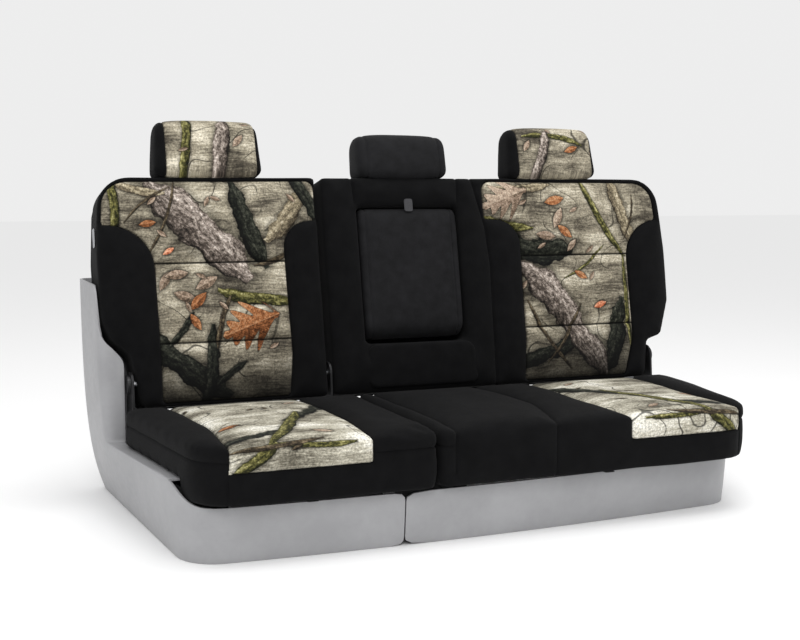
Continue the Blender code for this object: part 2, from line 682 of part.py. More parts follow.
def post_curve(name, radius, low, high):
    """Bent rod: two legs joined by a rounded bridge inside the headrest."""
    half = POST_SPACING / 2
    bend = 0.02
    points = [(-half, low)]
    points += [(-half + bend * (1 - math.cos(a)), high - bend * (1 - math.sin(a)))
               for a in (0, math.pi / 6, math.pi / 3, math.pi / 2)]
    points += [(-x, y) for x, y in reversed(points)]
    curve = bpy.data.curves.new(name, "CURVE")
    curve.dimensions = "3D"
    curve.bevel_depth = radius
    curve.bevel_resolution = 2
    curve.use_fill_caps = True
    spline = curve.splines.new("POLY")
    spline.points.add(len(points) - 1)
    for point, (x, y) in zip(spline.points, points):
        point.co = (x, y, POST_DEPTH, 1)
    holder = bpy.data.objects.new(name, curve)
    PARTS.objects.link(holder)
    graph = bpy.context.evaluated_depsgraph_get()
    mesh = bpy.data.meshes.new_from_object(holder.evaluated_get(graph))
    bpy.data.objects.remove(holder)
    form = bmesh.new()
    form.from_mesh(mesh)
    bmesh.ops.remove_doubles(form, verts=form.verts, dist=0.00001)
    bmesh.ops.recalc_face_normals(form, faces=form.faces)
    form.to_mesh(mesh)
    form.free()
    return mesh


def build_headrest(name):
    """Foam, cover and bent post of one headrest; the posts slide in guides in the backrest."""
    holder = empty("headrest_slide_" + name, (HEADREST_X[name], up(BACK_TOP_Z), 0), headrest_hinge(name))
    half = HEADREST_WIDTH[name] / 2
    low = 0.004
    top = up(HEADREST_TOP_Z[name]) - up(BACK_TOP_Z)
    wall = FABRIC + CLEAR
    sides = [(HEADREST_REAR, low, 0.018), (HEADREST_FRONT, low, 0.018), (HEADREST_FRONT - 0.006, top, 0.035),
             (HEADREST_REAR + 0.012, top, 0.035)]
    bridge = top * 0.55
    legs = add_cutter("post_bore_" + name, post_curve("post_bore_" + name, POST_RADIUS + CLEAR, -0.02, bridge),
                      holder)
    foam = add("headrest_foam_" + name,
               slab("headrest_foam_" + name, rounded(inset(sides, wall), 4), -half + wall, half - wall,
                    top_round=0.019, low_round=0.019), "foam", holder, across(0))
    finish = "charcoal_fabric" if name == "centre" else "camo_fabric"
    skin_mesh = slab("headrest_cover_" + name, rounded(inset(sides, FABRIC), 4), -half + FABRIC,
                     half - FABRIC, top_round=0.019, low_round=0.019)
    open_side(skin_mesh, (0, -1, 0))
    cover = add("headrest_cover_" + name, skin_mesh, finish, holder, across(0))
    skin(cover)
    cut(foam, legs)
    cut(cover, legs)
    add("headrest_post_" + name,
        post_curve("headrest_post_" + name, POST_RADIUS, -POST_REACH[name], bridge), "bright_steel", holder)


def build_guides(name, foam, cover):
    """Flanged sleeves that carry the two posts of one headrest in the top of a backrest."""
    hinge = headrest_hinge(name)
    top = up(BACK_TOP_Z)
    bore_length = 2 * (POST_REACH[name] + 0.004)
    flange_top = top + CLEAR + FLANGE
    for number, side in enumerate((-1, 1), start=1):
        x = HEADREST_X[name] + side * POST_SPACING / 2
        label = f"headrest_guide_{name}_{number}"
        place = along_y(x, flange_top - GUIDE_LENGTH / 2, POST_DEPTH)
        sleeve = add(label, rod_mesh(label, GUIDE_RADIUS, GUIDE_LENGTH), "black_plastic", hinge, place)
        flange = add_cutter("flange_" + label, rod_mesh("flange_" + label, 0.017, FLANGE), hinge,
                            along_y(x, flange_top - FLANGE / 2, POST_DEPTH))
        bore = add_cutter("bore_" + label, rod_mesh("bore_" + label, POST_RADIUS + CLEAR, 0.3), hinge,
                          along_y(x, top, POST_DEPTH))
        seat = add_cutter("seat_" + label, rod_mesh("seat_" + label, GUIDE_RADIUS + CLEAR, bore_length),
                          hinge, along_y(x, top, POST_DEPTH))
        cut(sleeve, flange, operation="UNION")
        cut(sleeve, bore)
        cut(foam, seat)
        cut(cover, seat)


def build_tag():
    """Blank woven tag on the outer edge of the 40 % backrest."""
    tag = block(-0.012, 0.012, -0.022, 0.022, 0.005)
    turn = Matrix(((0, 0, -1, -HALF_WIDTH[-1] + 0.0005), (0, 1, 0, up(0.635)), (1, 0, 0, 0.0), (0, 0, 0, 1)))
    add("edge_tag", slab("edge_tag", rounded(tag, 2), 0.0, 0.0012), "tag", LEFT_BACK, turn)


build_base()
build_cushion("left", -1, -(SEAM_X - 0.009))
build_cushion("right", 1, SEAM_X + 0.009)
build_straps()
build_brackets()
build_rods()
left_parts = build_back("left", -1, 0.225)
right_parts = build_back("right", 1, -0.215, arm_recess())
build_armrest()
right_bore = add_cutter("arm_tube_bore", rod_mesh("arm_tube_bore", ROD_RADIUS + CLEAR, 0.31), ARM_HINGE,
                        along_x((ARM_X[1] + ARM_X[0]) / 2))
cut(right_parts[0], right_bore)
build_lower_pad()
for position in ("left", "centre", "right"):
    build_headrest(position)
    foam_part, cover_part = (left_parts if position == "left" else right_parts)[:2]
    build_guides(position, foam_part, cover_part)
build_tag()
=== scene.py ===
"""Rear bench seat with its fitted cover set: looks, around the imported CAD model."""
import math

import bmesh
import bpy
import numpy as np
from mathutils import Matrix, Vector, kdtree, noise


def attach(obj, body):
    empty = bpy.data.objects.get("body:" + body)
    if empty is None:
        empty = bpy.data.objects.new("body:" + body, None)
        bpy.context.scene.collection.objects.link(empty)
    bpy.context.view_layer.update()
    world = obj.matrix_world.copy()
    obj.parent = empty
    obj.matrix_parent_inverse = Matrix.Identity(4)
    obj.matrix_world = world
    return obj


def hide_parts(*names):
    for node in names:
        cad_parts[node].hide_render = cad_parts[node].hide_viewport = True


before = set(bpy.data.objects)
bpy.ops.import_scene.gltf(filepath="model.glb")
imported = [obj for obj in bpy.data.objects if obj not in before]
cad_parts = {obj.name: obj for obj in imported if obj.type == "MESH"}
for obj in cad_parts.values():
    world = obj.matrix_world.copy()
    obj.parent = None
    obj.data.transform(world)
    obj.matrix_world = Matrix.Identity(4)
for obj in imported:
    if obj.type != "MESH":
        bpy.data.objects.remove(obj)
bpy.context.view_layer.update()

# ---- dimensions, as in the CAD part (metres) ----
FRONT_Y, REAR_Y = -0.41, 0.41
PIVOT_Y, PIVOT_Z = 0.1474, 0.297
LEAN = math.atan(0.2)
BACK_FRONT, BACK_REAR = 0.032, -0.073
BACK_TOP_Z, BACK_LOW_Z = 0.769, 0.237
HALF_WIDTH = {-1: 0.770, 1: 0.782}
ARM_X = (-0.117, 0.150)
ARM_RADIUS, ARM_PIVOT_Z, ARM_TOP_Z = 0.04, 0.410, 0.697
HEADREST_X = {"left": -0.488, "centre": 0.013, "right": 0.452}
HEADREST_TOP_Z = {"left": 0.912, "centre": 0.886, "right": 0.912}
HEADREST_WIDTH = {"left": 0.262, "centre": 0.246, "right": 0.262}
CUSHION_LOW, CUSHION_TOP = 0.1218, 0.248
CUSHION_REAR_Y = 0.093
CAMO_BAND_Z = 0.193
SIDE_HEM = 0.1655
QUILT_Z = (0.570, 0.384)  # heights of the quilting rows on the backrests
FAR = 9.0                 # a distance that means "not near this seam"


def up(z):
    """Distance up the lean from the hinge axis to a height."""
    return (z - PIVOT_Z) / math.cos(LEAN)


BACK_TOP = up(BACK_TOP_Z)
COVER_TOP = BACK_TOP + 0.008      # the padded top swells up to meet the headrests
ARM_V = up(ARM_PIVOT_Z)
ARM_W = BACK_FRONT - ARM_RADIUS
COS, SIN = math.cos(LEAN), math.sin(LEAN)
# (across, up the lean, forward) to the world
BACK_FRAME = Matrix(((1, 0, 0, 0), (0, SIN, -COS, PIVOT_Y), (0, COS, SIN, PIVOT_Z), (0, 0, 0, 1)))

PIECES = bpy.data.collections.new("cover_set")
bpy.context.scene.collection.children.link(PIECES)


# ---- outlines ----
def mirrored(corners):
    return [(-x, y, r) for x, y, r in reversed(corners)]


def inset(corners, distance):
    """Corners (x, y, radius) of a counter-clockwise outline, moved inward."""
    moved = []
    for i, (x, y, radius) in enumerate(corners):
        here = Vector((x, y))
        before = (here - Vector(corners[i - 1][:2])).normalized()
        after = (Vector(corners[(i + 1) % len(corners)][:2]) - here).normalized()
        inward = Vector((-before.y, before.x)) + Vector((-after.y, after.x))
        scale = distance / (1 + before.dot(after))
        grow = -distance if before.cross(after) > 0 else distance
        moved.append((x + inward.x * scale, y + inward.y * scale, max(radius + grow, 0.001)))
    return moved


def rounded(corners, steps=8):
    """Points of an outline whose corners (x, y, radius) are rounded by arcs."""
    points = []
    for i, (x, y, radius) in enumerate(corners):
        here = Vector((x, y))
        to_last = (Vector(corners[i - 1][:2]) - here).normalized()
        to_next = (Vector(corners[(i + 1) % len(corners)][:2]) - here).normalized()
        angle = to_last.angle(to_next)
        if radius <= 0 or angle > math.radians(178):
            points.append((x, y))
            continue
        centre = here + (to_last + to_next).normalized() * (radius / math.sin(angle / 2))
        start = here + to_last * (radius / math.tan(angle / 2)) - centre
        sweep = math.pi - angle
        turn = -1 if to_last.cross(to_next) > 0 else 1
        count = max(2, round(steps * sweep / (math.pi / 2)))
        for k in range(count + 1):
            offset = start.copy()
            offset.rotate(Matrix.Rotation(turn * sweep * k / count, 2))
            points.append(tuple(centre + offset))
    return points


def block(x0, x1, y0, y1, radius=0.0):
    return [(x0, y0, radius), (x1, y0, radius), (x1, y1, radius), (x0, y1, radius)]


# ---- distance fields, on arrays of points ----
def ramp(value, start, end):
    share = np.clip((value - start) / (end - start), 0, 1)
    return share * share * (3 - 2 * share)


def nearest_on(points, line, closed):
    """Unsigned distance to a polyline, and the side of it that each point is on."""
    line = np.asarray(line, float)
    ends = np.roll(line, -1, axis=0) if closed else line[1:]
    starts = line if closed else line[:-1]
    best = np.full(len(points), 1e9)
    side = np.ones(len(points))
    for a, b in zip(starts, ends):
        ab = b - a
        ap = points - a
        share = np.clip((ap @ ab) / max(ab @ ab, 1e-12), 0, 1)
        gap = ap - share[:, None] * ab
        distance = np.hypot(gap[:, 0], gap[:, 1])
        closer = distance < best
        best[closer] = distance[closer]
        side[closer] = np.sign(ab[0] * ap[closer, 1] - ab[1] * ap[closer, 0])
    return best, side


def inside_of(points, outline):
    """Distance inside a closed outline; negative outside it."""
    outline = np.asarray(outline, float)
    best, _ = nearest_on(points, outline, True)
    x, y = points[:, 0], points[:, 1]
    within = np.zeros(len(points), bool)
    for (x0, y0), (x1, y1) in zip(outline, np.roll(outline, -1, axis=0)):
        if y0 == y1:
            continue
        crosses = (y0 > y) != (y1 > y)
        within ^= crosses & (x < (x1 - x0) * (y - y0) / (y1 - y0) + x0)
    return np.where(within, best, -best)


def side_of(points, line):
    """Signed distance to an open polyline."""
    best, side = nearest_on(points, line, False)
    return best * np.where(side == 0, 1, side)


# ---- meshes ----
def slab(outline, low, high, top_round, low_round, segments=4):
    """A flat outline between two heights with its rims rounded over, as a bmesh."""
    form = bmesh.new()
    base = form.faces.new([form.verts.new((x, y, low)) for x, y in outline])
    raised = bmesh.ops.extrude_face_region(form, geom=[base])["geom"]
    top = [g for g in raised if isinstance(g, bmesh.types.BMVert)]
    bmesh.ops.translate(form, verts=top, vec=(0, 0, high - low))
    bmesh.ops.recalc_face_normals(form, faces=form.faces)
    for height, radius in ((high, top_round), (low, low_round)):
        if radius:
            rim = [e for e in form.edges if all(abs(v.co.z - height) < 1e-5 for v in e.verts)]
            bmesh.ops.bevel(form, geom=rim, offset=radius, segments=segments, profile=0.5,
                            affect="EDGES", clamp_overlap=True)
    return form


def to_object(name, form, matrix=None):
    mesh = bpy.data.meshes.new(name)
    form.to_mesh(mesh)
    form.free()
    if matrix is not None:
        mesh.transform(matrix)
    made = bpy.data.objects.new(name, mesh)
    PIECES.objects.link(made)
    return made


def evaluated_mesh(obj):
    graph = bpy.context.evaluated_depsgraph_get()
    graph.update()
    return bpy.data.meshes.new_from_object(obj.evaluated_get(graph))


def remeshed(form, voxel, cutters=()):
    """The form as one even skin, minus the cutters."""
    body = to_object("work", form)
    helpers = []
    for cutter in cutters:
        helper = to_object("cutter", cutter)
        boolean = body.modifiers.new("cut", "BOOLEAN")
        boolean.solver = "EXACT"
        boolean.object = helper
        helpers.append(helper)
    remesh = body.modifiers.new("remesh", "REMESH")
    remesh.mode = "VOXEL"
    remesh.voxel_size = voxel
    smooth = body.modifiers.new("smooth", "SMOOTH")
    smooth.factor = 0.5
    smooth.iterations = 3
    mesh = evaluated_mesh(body)
    for gone in (body, *helpers):
        bpy.data.objects.remove(gone)
    return mesh


def coords(mesh):
    flat = np.empty(len(mesh.vertices) * 3, np.float32)
    mesh.vertices.foreach_get("co", flat)
    return flat.reshape(-1, 3).astype(float)


SETTLE_FRAMES = 18


def settle(mesh, pinned, pressure, cap):
    """Inflates the skin as cloth with some points pinned; gives how far each point moved."""
    rest = coords(mesh)
    body = bpy.data.objects.new("settling", mesh.copy())
    PIECES.objects.link(body)
    group = body.vertex_groups.new(name="pin")
    for index in np.nonzero(pinned > 0.01)[0]:
        group.add([int(index)], float(pinned[index]), "REPLACE")
    cloth = body.modifiers.new("cloth", "CLOTH")
    settings = cloth.settings
    settings.quality = 5
    settings.mass = 0.3
    settings.use_pressure = True
    settings.uniform_pressure_force = pressure
    settings.tension_stiffness = 12
    settings.compression_stiffness = 12
    settings.shear_stiffness = 6
    settings.bending_stiffness = 0.6
    settings.effector_weights.gravity = 0.0
    settings.vertex_group_mass = "pin"
    cloth.collision_settings.use_collision = False
    cloth.point_cache.frame_end = SETTLE_FRAMES
    scene = bpy.context.scene
    scene.frame_end = max(scene.frame_end, SETTLE_FRAMES)
    for number in range(1, SETTLE_FRAMES + 1):
        scene.frame_set(number)
    moved = coords(evaluated_mesh(body)) - rest
    scene.frame_set(1)
    bpy.data.objects.remove(body)
    length = np.linalg.norm(moved, axis=1, keepdims=True)
    return moved * np.minimum(1.0, cap / np.maximum(length, 1e-9))


def cut_iso(form, field, level):
    """Runs an edge loop through the mesh where field equals level."""
    form.verts.index_update()
    value = field(np.array([v.co[:] for v in form.verts])) - level
    on_line = set()
    for edge in list(form.edges):
        a, b = edge.verts
        fa, fb = value[a.index], value[b.index]
        if fa * fb >= 0 or abs(fa - fb) > 2.2 * edge.calc_length():
            continue
        share = fa / (fa - fb)
        if share < 0.06:
            on_line.add(a)
        elif share > 0.94:
            on_line.add(b)
        else:
            on_line.add(bmesh.utils.edge_split(edge, a, share)[1])
    if on_line:
        bmesh.ops.connect_verts(form, verts=list(on_line))


class Seam:
    """A sewn line: a field whose zero is the line, with the groove's depth and half width."""

    def __init__(self, field, depth=0.0035, half=0.0038, levels=(-1, 0, 1)):
        self.field, self.depth, self.half, self.levels = field, depth, half, levels


def seam_gap(points, seams):
    """Distance from each point to the nearest seam."""
    return np.min([np.abs(seam.field(points)) for seam in seams], axis=0)


def lumps(points, scale, height, seed):
    """Soft unevenness along a surface."""
    return np.array([noise.noise(Vector(p) * scale + Vector((seed, 0, 0))) for p in points]) * height


def dress(mesh, seams, puff, moved, panels, matrix, print_at=None, turn_in=0.004):
    """
    Cuts the seams into a padded skin, raises the padding between them and splits it into panels.
    puff(points, gap) gives the height at each point, where gap is the distance to the nearest
    seam. panels is a list of (name, field); a face goes to the first panel whose field is
    positive in its middle, and the last panel takes the rest.
    """
    form = bmesh.new()
    form.from_mesh(mesh)
    rest = coords(mesh)
    tree = kdtree.KDTree(len(rest))
    for index, point in enumerate(rest):
        tree.insert(point, index)
    tree.balance()
    for seam in seams:
        for level in seam.levels:
            cut_iso(form, seam.field, level * seam.half)
    form.normal_update()
    form.verts.index_update()
    points = np.array([v.co[:] for v in form.verts])
    normals = np.array([v.normal[:] for v in form.verts])
    gap = np.full(len(points), FAR)
    groove = np.zeros(len(points))
    for seam in seams:
        distance = np.abs(seam.field(points))
        gap = np.minimum(gap, distance)
        groove = np.maximum(groove, seam.depth * np.exp(-(distance / (seam.half * 0.75)) ** 2))
    height = puff(points, gap) - groove
    drift = np.zeros_like(points)
    if np.abs(moved).max() > 0:
        for index, point in enumerate(points):
            near = tree.find_n(point, 3)
            weights = [1 / (d + 1e-5) for _, _, d in near]
            drift[index] = sum(moved[i] * w for (_, i, _), w in zip(near, weights)) / sum(weights)
    final = points + normals * height[:, None] + drift
    prints = points if print_at is None else print_at(points)
    layer = form.verts.layers.float_vector.new("print")
    for vert, where, mark in zip(form.verts, final, prints):
        vert.co = where
        vert[layer] = mark
    middles = np.array([sum((Vector(points[v.index]) for v in f.verts), Vector()) / len(f.verts)
                        for f in form.faces])
    owner = np.full(len(form.faces), len(panels) - 1)
    for index in range(len(panels) - 2, -1, -1):
        owner[panels[index][1](middles) > 0] = index
    made = []
    for index, (name, _) in enumerate(panels):
        piece = form.copy()
        piece.faces.ensure_lookup_table()
        gone = [piece.faces[i] for i in np.nonzero(owner != index)[0]]
        bmesh.ops.delete(piece, geom=gone, context="FACES")
        if turn_in:
            piece.normal_update()
            border = [e for e in piece.edges if e.is_boundary]
            inward = {v: v.normal.copy() for e in border for v in e.verts}
            spots = {v.co.copy().freeze(): n for v, n in inward.items()}
            hems = bmesh.ops.extrude_edge_only(piece, edges=border)["geom"]
            for vert in (g for g in hems if isinstance(g, bmesh.types.BMVert)):
                vert.co -= spots[vert.co.copy().freeze()] * turn_in
        for face in piece.faces:
            face.smooth = True
        made.append(to_object(name, piece, matrix))
    form.free()
    return made


# ---- node materials ----
class Graph:
    """Short ways to make and link shader nodes."""

    def __init__(self, name, roughness=0.8, metallic=0.0, specular=0.5, sheen=0.0):
        self.material = bpy.data.materials.new(name)
        self.material.use_nodes = True
        self.tree = self.material.node_tree
        self.shader = self.tree.nodes["Principled BSDF"]
        self.shader.inputs["Roughness"].default_value = roughness
        self.shader.inputs["Metallic"].default_value = metallic
        self.shader.inputs["Specular IOR Level"].default_value = specular
        self.shader.inputs["Sheen Weight"].default_value = sheen
        self.shader.inputs["Sheen Roughness"].default_value = 0.5

    def plug(self, value, socket):
        if isinstance(value, bpy.types.NodeSocket):
            self.tree.links.new(value, socket)
        else:
            socket.default_value = value

    def node(self, kind, output=0, properties=None, **inputs):
        made = self.tree.nodes.new(kind)
        for key, value in (properties or {}).items():
            setattr(made, key, value)
        for key, value in inputs.items():
            self.plug(value, made.inputs[key.replace("_", " ")])
        return made.outputs[output]

    def math(self, operation, a, b=0.0, c=0.0, clamp=False):
        made = self.tree.nodes.new("ShaderNodeMath")
        made.operation = operation
        made.use_clamp = clamp
        for value, socket in zip((a, b, c), made.inputs):
            self.plug(value, socket)
        return made.outputs[0]

    def add(self, a, b):
        return self.math("ADD", a, b)

    def sub(self, a, b):
        return self.math("SUBTRACT", a, b)

    def mul(self, a, b, clamp=False):
        return self.math("MULTIPLY", a, b, clamp=clamp)

    def size(self, value):
        return self.math("ABSOLUTE", value)

    def smooth(self, value, low, high, to_low=0.0, to_high=1.0):
        made = self.tree.nodes.new("ShaderNodeMapRange")
        made.interpolation_type = "SMOOTHSTEP"
        for item, socket in zip((value, low, high, to_low, to_high), made.inputs):
            self.plug(item, socket)
        return made.outputs[0]

    def mix(self, share, a, b, blend="MIX"):
        made = self.tree.nodes.new("ShaderNodeMix")
        made.data_type = "RGBA"
        made.blend_type = blend
        self.plug(share, made.inputs[0])
        self.plug(a if isinstance(a, bpy.types.NodeSocket) else (*a, 1.0), made.inputs[6])
        self.plug(b if isinstance(b, bpy.types.NodeSocket) else (*b, 1.0), made.inputs[7])
        return made.outputs[2]

    def ramp(self, share, *stops):
        made = self.tree.nodes.new("ShaderNodeValToRGB")
        stops = sorted(stops)
        while len(made.color_ramp.elements) < len(stops):
            made.color_ramp.elements.new(0.5)
        for element, (place, colour) in zip(made.color_ramp.elements, stops):
            element.position = place
            element.color = (*colour, 1.0)
        self.plug(share, made.inputs[0])
        return made.outputs[0]

    def print_axes(self):
        """The two print coordinates of the cloth, in metres."""
        made = self.tree.nodes.new("ShaderNodeAttribute")
        made.attribute_name = "print"
        parts = self.tree.nodes.new("ShaderNodeSeparateXYZ")
        self.plug(made.outputs["Vector"], parts.inputs[0])
        return parts.outputs[0], parts.outputs[1], made.outputs["Vector"]

    def vector(self, x, y, z=0.0):
        made = self.tree.nodes.new("ShaderNodeCombineXYZ")
        for value, socket in zip((x, y, z), made.inputs):
            self.plug(value, socket)
        return made.outputs[0]

    def noise(self, vector, scale, detail=4.0, rough=0.55, distortion=0.0):
        return self.node("ShaderNodeTexNoise", Vector=vector, Scale=scale, Detail=detail,
                         Roughness=rough, Distortion=distortion)

    def object_point(self):
        return self.node("ShaderNodeTexCoord", output=3)

    def bump(self, height, strength, distance):
        return self.node("ShaderNodeBump", Height=height, Strength=strength, Distance=distance)

    def done(self, colour=None, roughness=None, normal=None):
        if colour is not None:
            if isinstance(colour, tuple):
                colour = (*colour, 1.0)
            self.plug(colour, self.shader.inputs["Base Color"])
        if roughness is not None:
            self.plug(roughness, self.shader.inputs["Roughness"])
        if normal is not None:
            self.plug(normal, self.shader.inputs["Normal"])
        return self.material


def linear(*levels):
    """sRGB levels from 0 to 255 as a linear colour."""
    return tuple(((v / 255 + 0.055) / 1.055) ** 2.4 if v > 10 else v / 255 / 12.92 for v in levels)


def knit_height(graph, point, pitch):
    """Height of a fine knit: two crossed rows of loops with a little unevenness."""
    rows = graph.node("ShaderNodeTexWave", Vector=point, Scale=0.32 / pitch, Distortion=0.0,
                      properties={"wave_type": "BANDS", "bands_direction": "X"}, output=1)
    columns = graph.node("ShaderNodeTexWave", Vector=point, Scale=0.32 / pitch,
                         properties={"wave_type": "BANDS", "bands_direction": "Z"}, output=1)
    grain = graph.noise(point, 900.0, 2.0)
    return graph.add(graph.mul(rows, columns), graph.mul(grain, 0.6))


def fabric(name, dark, light, roughness=0.9, sheen=0.02, pitch=0.0013, mottle=26.0):
    graph = Graph(name, roughness, specular=0.1, sheen=sheen)
    point = graph.object_point()
    height = knit_height(graph, point, pitch)
    cloud = graph.noise(point, mottle, 5.0, 0.6)
    fibre = graph.noise(point, 420.0, 3.0, 0.6)
    share = graph.add(graph.mul(cloud, 0.55), graph.mul(fibre, 0.45))
    colour = graph.ramp(share, (0.36, dark), (0.64, light))
    rough = graph.smooth(fibre, 0.3, 0.7, roughness - 0.08, min(roughness + 0.06, 1.0))
    return graph.done(colour, rough, graph.bump(height, 0.35, 0.0006))


def moulded(name, dark, light, roughness=0.45, grain=700.0, strength=0.12):
    """Moulded plastic with a fine eroded grain and slight handling marks."""
    graph = Graph(name, roughness, specular=0.45)
    point = graph.object_point()
    pores = graph.node("ShaderNodeTexVoronoi", Vector=point, Scale=grain)
    cloud = graph.noise(point, 9.0, 4.0)
    wear = graph.noise(point, 60.0, 5.0, 0.65)
    colour = graph.ramp(graph.add(graph.mul(cloud, 0.7), graph.mul(wear, 0.3)),
                        (0.35, dark), (0.65, light))
    rough = graph.smooth(wear, 0.3, 0.75, roughness - 0.06, roughness + 0.08)
    return graph.done(colour, rough, graph.bump(pores, strength, 0.0004))


def metal(name, dark, light, roughness, metallic, stretch):
    """Drawn or coated steel with fine lengthways scratches."""
    graph = Graph(name, roughness, metallic)
    point = graph.object_point()
    streaked = graph.node("ShaderNodeVectorMath", properties={"operation": "MULTIPLY"})
    made = streaked.node
    graph.plug(point, made.inputs[0])
    made.inputs[1].default_value = stretch
    scratches = graph.noise(streaked, 260.0, 4.0, 0.7)
    cloud = graph.noise(point, 14.0, 3.0)
    colour = graph.ramp(graph.add(graph.mul(scratches, 0.5), graph.mul(cloud, 0.5)),
                        (0.35, dark), (0.65, light))
    rough = graph.smooth(scratches, 0.25, 0.75, roughness - 0.06, roughness + 0.10)
    return graph.done(colour, rough, graph.bump(scratches, 0.08, 0.0003))


def woven(name, dark, light, pitch=0.0016, roughness=0.8):
    """Ribbed webbing: crossed threads in rows."""
    graph = Graph(name, roughness, specular=0.35, sheen=0.1)
    point = graph.object_point()
    warp = graph.node("ShaderNodeTexWave", Vector=point, Scale=0.32 / pitch, output=1,
                      properties={"bands_direction": "X"})
    weft = graph.node("ShaderNodeTexWave", Vector=point, Scale=0.32 / pitch, output=1,
                      properties={"bands_direction": "Z"})
    threads = graph.math("MAXIMUM", warp, weft)
    fuzz = graph.noise(point, 500.0, 3.0)
    colour = graph.ramp(graph.add(graph.mul(threads, 0.6), graph.mul(fuzz, 0.4)),
                        (0.3, dark), (0.8, light))
    return graph.done(colour, None, graph.bump(threads, 0.4, 0.0006))


GRAIN_CONTRAST = 3.4
# the last tone is painted shade, laid where a backrest meets the cushion
CRACK_TONE, SHADOW_TONE, FOLD_SHADE_TONE = linear(24, 22, 18), linear(14, 13, 11), linear(8, 8, 8)


